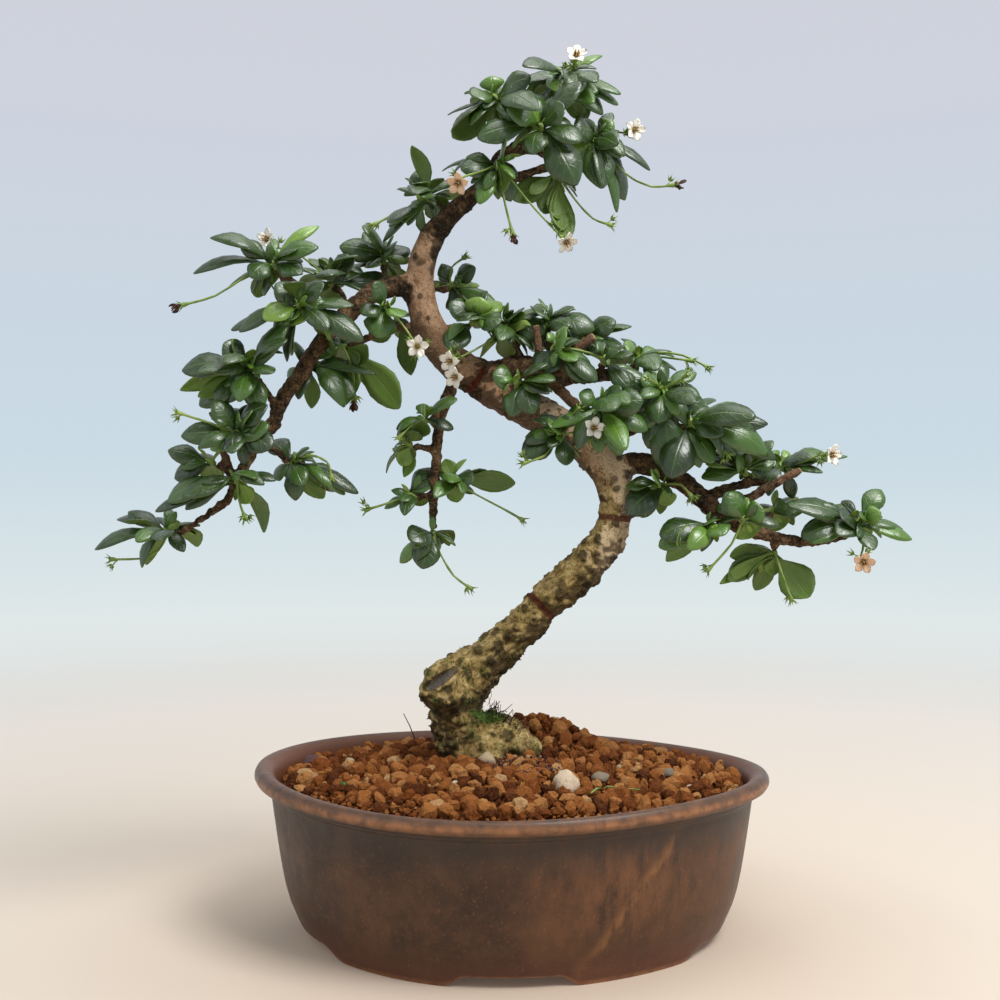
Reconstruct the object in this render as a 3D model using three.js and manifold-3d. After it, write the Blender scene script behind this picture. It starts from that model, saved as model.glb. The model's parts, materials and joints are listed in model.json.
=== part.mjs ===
// A fukien tea bonsai in its glazed oval pot. Millimetres, +Z up, origin on the ground under the middle
// of the pot. The pot is long along X, and the tree is shaped to be seen from -Y.
import * as THREE from "three";
import { mergeVertices } from "three/addons/utils/BufferGeometryUtils.js";
import Module from "manifold-3d";

const wasm = await Module();
wasm.setup();

// Driving dimensions.
const POT_HALF_LENGTH = 105;
const POT_HALF_DEPTH = 84;
const POT_HEIGHT = 65.5;
const FOOT_HEIGHT = 4;
const FLOOR_TOP = 9;
const DRAIN_RADIUS = 7;
const DRAIN_SPACING = 88;
const SCREEN_SIZE = 22;
const SCREEN_THICKNESS = 1.2;
const SOIL_EDGE = 61;
const SOIL_CROWN = 7;
const CLEARANCE = 0.3;
const SEED = 20;

// The branches and leaves are set out on the tree's front view. A place is given as
// [right, up, back] in millimetres: where it is seen against the upright plane through the middle of
// the pot by an eye that stands in front, and how far it lies behind that plane.
const EYE = { x: -4.4, distance: 525, height: 175 };

function at([right, up, back]) {
  const grow = 1 + back / EYE.distance;
  return new THREE.Vector3(
    EYE.x + (right - EYE.x) * grow,
    back,
    EYE.height + (up - EYE.height) * grow,
  );
}

// A seeded random draw between 0 and 1.
let state = SEED;
function random() {
  state = (state + 0x6d2b79f5) | 0;
  let t = Math.imul(state ^ (state >>> 15), 1 | state);
  t = (t + Math.imul(t ^ (t >>> 7), 61 | t)) ^ t;
  return ((t ^ (t >>> 14)) >>> 0) / 4294967296;
}

const mix = (a, b, t) => a + (b - a) * t;

// A solid from points and triangles. One that comes out inside out is turned round.
function solid(points, triangles) {
  const vertProperties = new Float32Array(points.flatMap((p) => [p.x, p.y, p.z]));
  const make = (list) =>
    new wasm.Manifold(new wasm.Mesh({ numProp: 3, vertProperties, triVerts: new Uint32Array(list) }));
  const made = make(triangles.flat());
  return made.volume() > 0 ? made : make(triangles.map(([a, b, c]) => [a, c, b]).flat());
}

// A solid skinned over rings of points. A ring of one point is a tip, and open ends are closed flat.
function skin(rings) {
  const points = rings.flat();
  const triangles = [];
  let start = 0;
  const cap = (first, count) => {
    for (let i = 1; i < count - 1; i += 1) triangles.push([first, first + i, first + i + 1]);
  };
  cap(0, rings[0].length);
  for (let r = 1; r < rings.length; r += 1) {
    const a = rings[r - 1].length;
    const b = rings[r].length;
    const next = start + a;
    const sides = Math.max(a, b);
    for (let i = 0; i < sides; i += 1) {
      const j = (i + 1) % sides;
      if (a === 1) triangles.push([start, next + i, next + j]);
      else if (b === 1) triangles.push([start + i, next, start + j]);
      else triangles.push([start + i, next + i, start + j], [start + j, next + i, next + j]);
    }
    start = next;
  }
  const last = rings[rings.length - 1].length;
  for (let i = 1; i < last - 1; i += 1) triangles.push([start, start + i + 1, start + i]);
  return solid(points, triangles);
}

function fuse(parts) {
  return wasm.Manifold.union(parts);
}

// The biggest piece of a cut body. Loose scraps are dropped.
function largest(body) {
  const bodies = body.decompose();
  bodies.sort((a, b) => b.volume() - a.volume());
  return bodies[0];
}

// A body is sound if no two of its corners or edges fall on one another when they are rounded, and no
// face lies folded back on its neighbour.
const ROUNDING = 1e-4;
const FOLDED = -0.9998;

function isSound(body) {
  const { vertProperties, triVerts } = body.getMesh();
  const corner = (i) => [0, 1, 2].map((k) => Math.round(vertProperties[3 * i + k] / ROUNDING));
  const normals = new Map();
  for (let i = 0; i < triVerts.length; i += 3) {
    const corners = [0, 1, 2].map((k) => corner(triVerts[i + k]));
    const [a, b, c] = corners.map(String);
    if (a === b || b === c || c === a) continue;
    const face = new THREE.Triangle(...corners.map((point) => new THREE.Vector3(...point)));
    const normal = face.getNormal(new THREE.Vector3());
    for (const [from, to] of [[a, b], [b, c], [c, a]]) {
      if (normals.has(`${from}/${to}`)) return false;
      const neighbour = normals.get(`${to}/${from}`);
      if (neighbour && neighbour.dot(normal) < FOLDED) return false;
      normals.set(`${from}/${to}`, normal);
    }
  }
  return true;
}

// Small steps where bodies cross are smoothed away, as far as the body stays sound.
const STEP_SIZE = 0.2;

function smoothed(body) {
  for (const share of [1, 0.9, 0.8, 0.7, 0.6, 0.5, 0.4, 0.3, 0.2, 0.1]) {
    const tried = body.asOriginal().simplify(STEP_SIZE * share);
    if (isSound(tried) && tried.decompose().length === 1) return tried;
  }
  return body;
}

// The pot's outline: an oval with its four corners a little flattened, and a rim that dips and rises
// a little, as the hand that pressed it left it.
const LOBE = 0.016;
const LOBE_TURN = 0.5;
const WARP = { cos: -1.0, sin: 1.1, cos2: 1.0, sin2: -1.1 };

function potPoint(angle, scale, z, inset = 0) {
  const round = (1 + LOBE * Math.cos(4 * angle + LOBE_TURN)) / (1 + LOBE);
  const wave =
    WARP.cos * Math.cos(angle) +
    WARP.sin * Math.sin(angle) +
    WARP.cos2 * Math.cos(2 * angle) +
    WARP.sin2 * Math.sin(2 * angle);
  const lift = Math.max(0, (z - FLOOR_TOP) / (POT_HEIGHT - FLOOR_TOP));
  return new THREE.Vector3(
    (POT_HALF_LENGTH * scale - inset) * round * Math.cos(angle),
    (POT_HALF_DEPTH * scale - inset) * round * Math.sin(angle),
    z + wave * lift ** 2,
  );
}

function potRing(sides, scale, z, inset) {
  return Array.from({ length: sides }, (_, i) => potPoint((2 * Math.PI * i) / sides, scale, z, inset));
}

// The wall as [share of the rim's outline, height], from the underside out, up and in to the floor.
const POT_OUTSIDE = [
  [0.45, FOOT_HEIGHT],
  [0.73, FOOT_HEIGHT],
  [0.745, 0],
  [0.82, 0],
  [0.833, 7.2],
  [0.862, 14],
  [0.893, 27],
  [0.922, 46],
  [0.936, 56],
  [0.956, 57.8],
  [0.985, 59.3],
  [1.0, 62],
  [0.99, 64.8],
];
const POT_INSIDE = [
  [0.962, POT_HEIGHT],
  [0.928, 63.6],
  [0.912, 59.5],
  [0.878, 36],
  [0.845, 20],
  [0.78, 11],
  [0.7, FLOOR_TOP],
];
const POT_SIDES = 32;

// One notch between two feet, cut right through the foot band: a flat-topped arch with swept ends,
// drawn across the middle of a side and pushed along the horizontal direction given.
function footNotch(topHalf, bottomHalf, direction, from, to) {
  const across = new THREE.Vector3(-direction.y, direction.x, 0);
  const arch = [
    [-bottomHalf - 2, -1],
    [-bottomHalf, 0],
    [-mix(bottomHalf, topHalf, 0.45), 2.6],
    [-topHalf, FOOT_HEIGHT + 0.5],
    [topHalf, FOOT_HEIGHT + 0.5],
    [mix(bottomHalf, topHalf, 0.45), 2.6],
    [bottomHalf, 0],
    [bottomHalf + 2, -1],
  ];
  const section = (distance) =>
    arch.map(([a, z]) =>
      new THREE.Vector3(0, 0, z).addScaledVector(across, a).addScaledVector(direction, distance),
    );
  return skin([section(from), section(to)]);
}

function cylinderAt(x, radius, low, high) {
  const geometry = new THREE.CylinderGeometry(radius, radius, high - low, 20);
  geometry.rotateX(Math.PI / 2).translate(x, 0, (low + high) / 2);
  return fromGeometry(geometry);
}

function fromGeometry(geometry) {
  geometry.deleteAttribute("normal");
  geometry.deleteAttribute("uv");
  const merged = mergeVertices(geometry, 1e-4);
  return new wasm.Manifold(
    new wasm.Mesh({
      numProp: 3,
      vertProperties: merged.attributes.position.array,
      triVerts: new Uint32Array(merged.index.array),
    }),
  );
}

function makePot() {
  const rings = [[new THREE.Vector3(0, 0, FOOT_HEIGHT)]];
  for (const [scale, z] of [...POT_OUTSIDE, ...POT_INSIDE]) rings.push(potRing(POT_SIDES, scale, z));
  rings.push([new THREE.Vector3(0, 0, FLOOR_TOP)]);
  const cuts = [-1, 1].flatMap((side) => [
    footNotch(17, 25, new THREE.Vector3(0, side, 0), 40, 90),
    footNotch(33, 44, new THREE.Vector3(side, 0, 0), 50, 110),
    cylinderAt((side * DRAIN_SPACING) / 2, DRAIN_RADIUS, 0, FLOOR_TOP + 2),
  ]);
  return skin(rings).subtract(fuse(cuts));
}

// The soil's top: level with the rim's inside at the edge, crowned in the middle, banked up behind the
// trunk's root, and rough with clay grains.
const BANK = { x: 11, y: 30, height: 13.5, width: 24, depth: 15 };

function soilHeight(x, y) {
  const out = Math.min(1, Math.hypot(x / (0.91 * POT_HALF_LENGTH), y / (0.91 * POT_HALF_DEPTH)));
  const crown = SOIL_CROWN * (1 - out ** 2);
  const bank = BANK.height * Math.exp(-(((x - BANK.x) / BANK.width) ** 2) - ((y - BANK.y) / BANK.depth) ** 2);
  return SOIL_EDGE + crown + bank;
}

const GRAIN = 1.7;
const SOIL_RINGS = 6;
const SOIL_SIDES = POT_SIDES;

function makeSoil() {
  const gap = 0.4;
  const rings = [[new THREE.Vector3(0, 0, FLOOR_TOP + gap)]];
  for (const [scale, z] of [...POT_INSIDE].reverse()) {
    if (z < SOIL_EDGE) rings.push(potRing(SOIL_SIDES, scale, z + (z < 12 ? gap : 0), gap));
  }
  for (let r = SOIL_RINGS; r >= 1; r -= 1) {
    const share = r / SOIL_RINGS;
    const ring = potRing(SOIL_SIDES, 0.905 * share, 0, gap);
    for (const p of ring) p.z = soilHeight(p.x, p.y) + (r < SOIL_RINGS ? GRAIN * (random() - 0.5) : 0);
    rings.push(ring);
  }
  rings.push([new THREE.Vector3(0, 0, soilHeight(0, 0))]);
  return skin(rings);
}

function makeScreen(side) {
  const geometry = new THREE.BoxGeometry(SCREEN_SIZE, SCREEN_SIZE, SCREEN_THICKNESS);
  return fromGeometry(
    geometry.translate((side * DRAIN_SPACING) / 2, 0, FLOOR_TOP + CLEARANCE + SCREEN_THICKNESS / 2),
  );
}

// Wood. A limb is a list of [right, up, back, radius], smoothed into a curve with round sections whose
// radius swells and shrinks a little along the way, as old wood does.
function limb(rows, sides, steps, extra = 0, rough = 0.05) {
  const curve = new THREE.CatmullRomCurve3(rows.map(at), false, "centripetal");
  const frames = curve.computeFrenetFrames(steps, false);
  const rings = [];
  for (let i = 0; i <= steps; i += 1) {
    const t = i / steps;
    const place = t * (rows.length - 1);
    const k = Math.min(rows.length - 2, Math.floor(place));
    const radius = mix(rows[k][3], rows[k + 1][3], place - k);
    const centre = curve.getPoint(t);
    const end = (i === steps ? extra : 0) - (i === 0 ? extra : 0);
    centre.addScaledVector(frames.tangents[i], end);
    rings.push(
      Array.from({ length: sides }, (_, j) => {
        const angle = (2 * Math.PI * j) / sides;
        const swell = 1 + rough * Math.sin(3.1 * i + 2 * angle) + rough * Math.sin(1.7 * i - 3 * angle);
        return centre
          .clone()
          .addScaledVector(frames.normals[i], Math.cos(angle) * (radius * swell + extra))
          .addScaledVector(frames.binormals[i], Math.sin(angle) * (radius * swell + extra));
      }),
    );
  }
  return skin(rings);
}

// Each limb: its rows, the number of sides of its section and of steps along it.
const LIMBS = {
  trunk: {
    sides: 10,
    steps: 27,
    rows: [
      [-14, 50, 13, 14],
      [-15, 66, 13, 15],
      [-15, 76, 12, 15.4],
      [-19.5, 87, 11, 15.6],
      [-22, 97, 10, 14.6],
      [-14, 106, 9, 10.4],
      [-4, 114, 8, 8.6],
      [14, 132, 4, 7.9],
      [33, 150.5, 1, 8.1],
      [44, 167, 0, 7.4],
      [42, 183, 1, 7.8],
      [33, 195.6, 4, 8.1],
      [20, 206, 8, 7.8],
      [4, 214, 9, 8.4],
      [-13, 224.5, 8, 8.4],
      [-25, 232.6, 6, 7.8],
      [-33, 245, 4, 7.1],
      [-38, 261.5, 2, 6.7],
      [-35, 278, 1, 6.3],
      [-29, 288, 0, 5.3],
      [-20, 296.5, -1, 4.3],
      [-10.6, 304.5, -1, 3.7],
    ],
  },
  burr: {
    sides: 9,
    steps: 4,
    rows: [
      [-23, 91, 4, 9],
      [-27, 97, -1, 11.4],
      [-27, 101, -2, 10.4],
      [-23, 106, 1, 6],
    ],
  },
  root_right: {
    sides: 9,
    steps: 6,
    rows: [
      [-12, 80, 8, 10],
      [-2, 77, 8, 9],
      [9, 71, 9, 6.5],
      [20, 63, 10, 4],
    ],
  },
  root_left: {
    sides: 8,
    steps: 4,
    rows: [
      [-18, 79, 12, 8],
      [-25, 71, 14, 6.5],
      [-31, 62, 16, 4],
    ],
  },
  root_front: {
    sides: 8,
    steps: 4,
    rows: [
      [-10, 79, 7, 8],
      [-8, 71, 1, 6.5],
      [-7, 63, -3, 4],
    ],
  },
  root_back: {
    sides: 8,
    steps: 4,
    rows: [
      [-13, 81, 17, 8],
      [-15, 72, 25, 6.5],
      [-16, 63, 31, 4],
    ],
  },
  // The low branch to the right, with its two cut stubs.
  low_right: {
    sides: 6,
    steps: 12,
    rows: [
      [42, 186, 2, 5.8],
      [53, 191, -1, 5.2],
      [66, 186, -4, 4.7],
      [76, 178, -6, 4.4],
      [84, 170, -7, 3.9],
      [93, 164, -8, 3.3],
      [104, 161, -8, 2.9],
      [117, 158, -8, 2.5],
      [128, 158, -8, 2.2],
      [139, 161, -8, 1.9],
    ],
  },
  low_right_stub: {
    sides: 7,
    steps: 4,
    rows: [
      [86, 168, -7, 2.8],
      [97, 175, -8, 2.3],
      [109, 182, -9, 2.0],
      [119.5, 187.5, -10, 1.8],
    ],
  },
  low_right_twig: {
    sides: 6,
    steps: 5,
    rows: [
      [80, 176, -6, 2.8],
      [90, 180, -4, 2.3],
      [100, 182, -2, 1.9],
      [109, 183, 0, 1.7],
    ],
  },
  // The branch above it, hidden by leaves.
  mid_right: {
    sides: 7,
    steps: 10,
    rows: [
      [34, 195, 3, 5],
      [45, 203, 2, 4.0],
      [56, 207, 0, 3.6],
      [64, 206, -3, 3.0],
      [72, 203, -7, 2.4],
    ],
  },
  // The rough upper branch to the right: its knob carries three cut stubs.
  high_right: {
    sides: 8,
    steps: 9,
    rows: [
      [-12, 224, 6, 5.6],
      [-3, 229, 3, 4.8],
      [8, 229.5, 0, 5.0],
      [15, 225.5, -3, 5.8],
      [24, 226, 2, 3.8],
      [36, 226, 8, 3.1],
      [49, 228, 14, 2.4],
    ],
  },
  high_stub_up: {
    sides: 7,
    steps: 3,
    rows: [
      [13, 226, -4, 2.8],
      [11.5, 237, -6, 2.0],
      [10.5, 247, -7, 1.8],
    ],
  },
  high_stub_down: {
    sides: 7,
    steps: 3,
    rows: [
      [15, 226, -4, 2.8],
      [21.5, 219, -7, 2.4],
      [28, 213, -9, 2.5],
    ],
  },
  high_stub_right: {
    sides: 7,
    steps: 3,
    rows: [
      [17, 228, -1, 2.8],
      [26, 236, -3, 2.6],
      [34.5, 242.5, -4, 2.1],
    ],
  },
  // The left branch, which falls in two bends to its lowest leaves.
  left: {
    sides: 6,
    steps: 17,
    rows: [
      [-38, 262, 2, 5.4],
      [-47, 263, 0, 4.7],
      [-56, 261, -3, 4.4],
      [-63, 255, -6, 4.2],
      [-72, 247, -9, 4.0],
      [-79, 239, -11, 3.7],
      [-86, 226.5, -13, 3.6],
      [-93, 218.5, -15, 3.5],
      [-98.5, 205, -17, 3.2],
      [-104, 198, -18, 2.8],
      [-109, 190, -18, 2.5],
      [-113, 182.5, -18, 2.4],
      [-115.5, 175.5, -18, 2.1],
      [-122, 171, -17, 1.8],
      [-132, 163.5, -15, 1.6],
      [-137, 161, -14, 1.5],
    ],
  },
  left_up: {
    sides: 7,
    steps: 6,
    rows: [
      [-72, 247, -9, 3.2],
      [-81, 254, -13, 2.9],
      [-88, 261.5, -15, 2.7],
      [-94, 268, -15, 2.4],
    ],
  },
  left_stub: {
    sides: 6,
    steps: 3,
    rows: [
      [-114, 181, -18, 2.2],
      [-116.5, 190, -20, 1.8],
      [-119.5, 199.5, -22, 1.7],
    ],
  },
  left_in: {
    sides: 6,
    steps: 5,
    rows: [
      [-37, 243, 4, 3.2],
      [-44, 246.5, 8, 2.4],
      [-55, 243.5, 9, 1.9],
      [-65, 238.5, 6, 1.7],
    ],
  },
  // The thin branch that hangs down below the upper bend.
  hanging: {
    sides: 6,
    steps: 10,
    rows: [
      [-22, 226, 2, 3.4],
      [-27, 215, 0, 2.9],
      [-29.5, 206, 0, 2.7],
      [-30.5, 192, 0, 2.4],
      [-31.5, 178, 0, 2.3],
      [-32, 166, 0, 1.8],
    ],
  },
  // The leader: a crook of thick knuckles above the thin end of the trunk.
  leader: {
    sides: 6,
    steps: 10,
    rows: [
      [-9, 305.5, -1, 3.5],
      [-7, 310, -1, 3.2],
      [-5, 315, 0, 3.0],
      [2, 319.5, 1, 3.2],
      [10, 320, 2, 3.4],
      [16, 317.5, 2, 3.1],
      [19, 313, 3, 2.6],
    ],
  },
  leader_up: {
    sides: 6,
    steps: 5,
    rows: [
      [4, 320, 1, 2.8],
      [9, 328, 3, 2.3],
      [15, 336, 5, 2.0],
      [20, 343, 5, 1.7],
    ],
  },
  leader_right: {
    sides: 6,
    steps: 6,
    rows: [
      [-7, 305, -1, 2.6],
      [6, 309, 2, 2.2],
      [20, 313, 5, 2.0],
      [29, 311, 7, 1.9],
      [37, 309, 8, 1.9],
    ],
  },
};

// Where a limb's middle line is, at a share of its length.
function onLimb(name, share) {
  const curve = new THREE.CatmullRomCurve3(LIMBS[name].rows.map(at), false, "centripetal");
  return curve.getPoint(share);
}

// Shoots. Each head is a knot of leaves on a short green stem. It has the limb that its twig springs
// from and the share along it, its place [right, up, back], and its leaves, each as the step from the
// head to the leaf's tip [right, up, back, width, side shown to the front: 1 upper, -1 under].
// stalks are flower stalks: steps from the head to their bends and to their end.
const SHOOTS = {
  apex_top: {
    heads: [
      {
        from: ["leader_up", 1],
        at: [21, 345, 5],
        leaves: [
          [17, 14, 3, 7],
          [24, -5, -6, 8],
          [-23, 3, 2, 7],
          [-5, -14, -16, 12, 1],
          [14, 2, 12, 8],
          [12, -15, -7, 10, 1],
          [-5, 10, 3, 6],
          [-8, 2, 21, 9],
          [11, -5, 20, 9],
          [11, -7, -14, 12, 1],
          [-15, -8, -10, 12, 1],
          [-17, 8, -3, 10],
        ],
      },
    ],
    flowers: [{ path: [[2, 3, -7], [4, 3, -12]], face: [0.1, 0.4, -0.9], colour: "white" }],
  },
  apex_left: {
    heads: [
      {
        from: ["leader_up", 0.4],
        at: [-4, 338, -3],
        leaves: [
          [-15, 6, 6, 8],
          [-22, -4, 2, 9],
          [-21, -9, 9, 9],
          [-20, -15, -4, 11, -1],
          [-12, 5, 15, 8],
          [1, 9, 8, 8],
          [12, 8, -9, 11, 1],
          [6, -10, -16, 11, 1],
          [-6, 3, 20, 9],
          [14, -4, -11, 12, 1],
          [-12, 0, -11, 12, 1],
          [-4, 10, -4, 10, 1],
        ],
      },
    ],
  },
  apex_front: {
    heads: [
      {
        from: ["leader", 0.66],
        at: [12, 326, -13],
        leaves: [
          [-25, -4, -7, 13, 1],
          [14, 16, -3, 7],
          [-7, 18, -2, 12, 1],
          [-16, 7, 6, 10],
          [16, -6, -9, 11, 1],
          [-13, 7, -9, 12, 1],
          [9, 8, -11, 12, 1],
          [-3, -11, -9, 12, 1],
        ],
      },
    ],
  },
  apex_right: {
    heads: [
      {
        from: ["leader", 0.8],
        at: [33, 323, 8],
        leaves: [
          [25, -12, 2, 7],
          [10, -6, -14, 11, 1],
          [9, 13, 5, 7],
          [-4, -19, -12, 15, 1],
          [11, -30, 1, 7],
          [10, -12, 9, 6],
          [1, 12, 10, 9],
          [-11, 9, 8, 9],
          [5, 2, 21, 9],
          [-10, -4, 18, 9],
          [-8, 2, -12, 12, 1],
          [14, 4, -8, 10, 1],
        ],
      },
    ],
    flowers: [{ path: [[9, 2, -6], [13, 0, -10]], face: [0.4, -0.1, -0.9], colour: "white" }],
    stalks: [[[13, -15, -3], [24, -21, -4], [32, -20, -4]]],
  },
  apex_under: {
    heads: [
      {
        from: ["leader", 1],
        at: [19, 310, 7],
        leaves: [
          [-5, -17, 3, 12, -1],
          [5, -29, 0, 10, -1],
          [-18, -12, 0, 11, -1],
          [9, 6, 13, 9],
          [-7, -6, 20, 9],
        ],
      },
    ],
    stalks: [[[8, -14, -5], [14, -21, -6], [20, -23, -6]]],
  },
  apex_fork: {
    heads: [
      {
        from: ["trunk", 0.985],
        at: [-6, 311, -11],
        leaves: [
          [-14, -2, -8, 11, 1],
          [-4, -15, -4, 8],
          [-22, 1, 6, 7],
          [6, -13, 0, 10],
          [4, 7, -14, 9, 1],
        ],
      },
    ],
    flowers: [
      { path: [[12, -14, -8], [19, -22, -9], [24, -27, -9]], face: [0.4, -0.6, -0.6], colour: "white" },
      { path: [[-6, -3, -8], [-13, -6, -12]], face: [-0.2, -0.5, -0.8], colour: "peach" },
    ],
    stalks: [[[3, -13, -6], [6, -25, -6]]],
  },
  knob_left: {
    heads: [
      {
        from: ["trunk", 0.93],
        at: [-33, 297, 1],
        leaves: [
          [-6, 14, 2, 10, 1],
          [10, 10, 3, 9],
          [-17, -10, -3, 9],
          [-20, -15, 4, 6],
          [-14, -13, -8, 7],
          [-14, 8, 8, 8],
          [14, 6, 12, 8],
          [-4, 4, -18, 9],
          [-6, 2, 20, 9],
          [4, 5, -12, 10, 1],
        ],
      },
    ],
    stalks: [[[-10, -3, -4], [-21, -9, -5]]],
  },
  left_tip: {
    heads: [
      {
        from: ["left_up", 1],
        at: [-96, 270, -15],
        leaves: [
          [16, 18, 4, 6],
          [-14, 10, -4, 9, 1],
          [-33, -2, -2, 10],
          [-21, -6, 7, 7],
          [9, 6, -9, 8],
          [-7, 8, 11, 8],
          [-5, -12, 4, 7],
          [5, 3, 18, 9],
          [-9, -5, -9, 10, 1],
          [11, -3, -8, 11, 1],
        ],
      },
    ],
    stalks: [[[-12, -4, -6], [-22, -12, -7], [-34, -15, -7]]],
  },
  left_high: {
    heads: [
      {
        from: ["left_up", 0.35],
        at: [-86, 254, -25],
        leaves: [
          [-27, -9, -3, 10],
          [-13, -6, -11, 11, 1],
          [-20, -25, 2, 9],
          [5, -16, 4, 13, -1],
          [21, 0, -6, 9],
          [25, -14, -7, 11, 1],
          [-6, -21, 1, 6],
          [-9, 8, -8, 11, 1],
          [10, 8, -9, 12, 1],
        ],
      },
    ],
  },
  left_mid: {
    heads: [
      {
        from: ["left", 0.22],
        at: [-73, 263, 6],
        leaves: [
          [22, 3, -7, 13, 1],
          [8, -4, -17, 13, 1],
          [-11, 13, 8, 9],
          [5, 14, 10, 9],
          [-13, 6, -7, 9],
          [-6, -2, 20, 9],
          [12, 2, 18, 9],
          [10, 9, -10, 12, 1],
          [-9, -7, -10, 11, 1],
        ],
      },
    ],
    flowers: [
      { path: [[-8, 8, -8], [-15, 13, -11], [-20, 13, -12]], face: [-0.5, 0.3, -0.8], colour: "white" },
    ],
  },
  left_back: {
    heads: [
      {
        from: ["left", 0.1],
        at: [-52, 272, 14],
        leaves: [
          [-18, 6, -7, 13, 1],
          [-9, 14, 2, 9],
          [10, 8, 6, 11],
          [-19, -3, 8, 12],
          [9, 3, 14, 8],
          [-10, 2, 18, 9],
          [3, -3, 20, 9],
          [-15, 13, -5, 12, 1],
          [5, 5, -12, 11, 1],
        ],
      },
    ],
  },
  left_front: {
    heads: [
      {
        from: ["left", 0.12],
        at: [-52, 255, -15],
        leaves: [
          [-2, -14, -7, 14, 1],
          [8, -6, -10, 9],
          [-8, -5, -10, 9],
          [-3, 7, -12, 9, 1],
        ],
      },
    ],
    flowers: [{ path: [[7, -7, -3], [13, -16, -2]], face: [0.1, -0.2, -1], colour: "white" }],
  },
  inner_left: {
    heads: [
      {
        from: ["left_in", 1],
        at: [-67, 238, 5],
        leaves: [
          [22, -26, -6, 16, -1],
          [21, -5, 7, 9, -1],
          [-11, -2, 4, 8, -1],
          [-8, 5, 14, 9],
          [6, -2, 18, 9],
        ],
      },
    ],
    stalks: [[[1, -5, -3], [3, -12, -4], [3, -20, -4]]],
  },
  inner_trunk: {
    heads: [
      {
        from: ["left_in", 0.35],
        at: [-46, 248, 14],
        leaves: [
          [6, -20, -3, 11, -1],
          [-13, -6, 6, 10, -1],
          [2, 5, 16, 9],
        ],
      },
    ],
  },
  left_inside: {
    heads: [
      {
        from: ["left", 0.42],
        at: [-83, 229, 0],
        leaves: [
          [18, -12, -9, 11, 1],
          [29, -4, 2, 6],
          [2, -15, 2, 8, -1],
          [9, 9, 6, 8],
          [4, 2, 19, 9],
          [-10, -11, -7, 11, 1],
          [-5, 8, -9, 11, 1],
        ],
      },
    ],
  },
  left_main: {
    heads: [
      {
        from: ["left", 0.5],
        at: [-106, 227, -25],
        leaves: [
          [-27, 1, -3, 13, 1],
          [-30, -6, 6, 9, -1],
          [-18, -2, -11, 8],
          [-20, -13, -4, 12, 1],
          [-3, -12, -12, 10, 1],
          [2, 8, -13, 5],
          [14, 9, -3, 9],
          [10, -1, -13, 9],
          [-8, 6, 17, 9],
          [-10, 11, -7, 11, 1],
        ],
      },
    ],
  },
  left_cut: {
    heads: [
      {
        from: ["left", 0.64],
        at: [-111, 200, -27],
        leaves: [
          [-22, 1, -5, 10, 1],
          [9, 8, -7, 10, 1],
          [-11, 10, -6, 9],
          [0, -6, -16, 9, 1],
          [12, 16, 2, 10],
          [-6, 16, 6, 10],
          [-10, 4, 16, 9],
          [14, -3, -8, 12, 1],
        ],
      },
      {
        from: ["left", 0.71],
        at: [-121, 189, -22],
        leaves: [
          [-18, 6, -4, 9, 1],
          [-16, -5, -2, 10, 1],
          [-11, 3, 15, 9],
        ],
      },
    ],
    stalks: [[[-10, 6, -8], [-20, 9, -10]]],
  },
  left_low: {
    heads: [
      {
        from: ["left", 0.78],
        at: [-113, 182, -25],
        leaves: [
          [-24, -10, -1, 10, 1],
          [-30, -13, 8, 8],
          [17, 1, -7, 7],
          [6, -9, 2, 8, -1],
          [-11, 0, -9, 6],
        ],
      },
    ],
    stalks: [[[2, -7, -4], [4, -12, -5]]],
  },
  left_right: {
    heads: [
      {
        from: ["left", 0.6],
        at: [-91, 191, -9],
        leaves: [
          [-9, 8, -7, 10, 1],
          [9, 5, -7, 5],
          [-7, -7, 3, 9],
          [7, -10, -9, 9, 1],
          [3, -16, -3, 9, 1],
          [13, -15, 7, 11, -1],
          [28, -13, -1, 8, 1],
          [5, 4, 18, 9],
        ],
      },
    ],
    stalks: [[[9, 3, -8], [17, 0, -9], [18, -5, -9]]],
  },
  left_end: {
    heads: [
      {
        from: ["left", 1],
        at: [-138.5, 161, -14],
        leaves: [
          [-31, -6, -2, 9],
          [-19, 9, 3, 9],
          [11, -7, -6, 9, 1],
          [-8, 6, 16, 9],
          [7, 3, 14, 8],
        ],
      },
    ],
    stalks: [[[-5, -7, -2], [-12, -10, -3], [-22, -10, -3]]],
  },
  hanging_leaf: {
    heads: [
      {
        from: ["hanging", 0.3],
        at: [-33, 208, -4],
        leaves: [
          [-15, -8, -4, 7],
          [-3, 7, 5, 8],
          [9, 4, 8, 8],
        ],
      },
    ],
    stalks: [[[-6, -1, -3], [-11, -6, -3]]],
  },
  hanging_left: {
    heads: [
      {
        from: ["hanging", 0.56],
        at: [-40, 197, -2],
        leaves: [
          [7, 6, -5, 8, -1],
          [-5, -8, -2, 8, -1],
          [-4, 7, 4, 7],
          [-6, 2, 10, 8],
        ],
      },
    ],
  },
  hanging_low: {
    heads: [
      {
        from: ["hanging", 0.82],
        at: [-39, 176.5, 2],
        leaves: [
          [-14, -6, -3, 6],
          [-7, -2, -7, 6],
          [6, 12, 4, 8],
          [-6, 3, 11, 8],
        ],
      },
    ],
    stalks: [[[-9, -2, -4], [-18, -5, -5]]],
  },
  hanging_right: {
    heads: [
      {
        from: ["hanging", 0.76],
        at: [-26, 182, 1],
        leaves: [
          [-1, 10, 3, 8, -1],
          [11, 1, -9, 10, 1],
          [28, 0, 3, 9, -1],
          [-2, -8, -8, 7, 1],
          [4, -8, 3, 8, -1],
          [4, 2, 14, 9],
        ],
      },
    ],
    stalks: [[[12, -5, -3], [22, -10, -4], [29, -14, -4]]],
  },
  hanging_end: {
    heads: [
      {
        from: ["hanging", 1],
        at: [-32, 163, 0],
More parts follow.
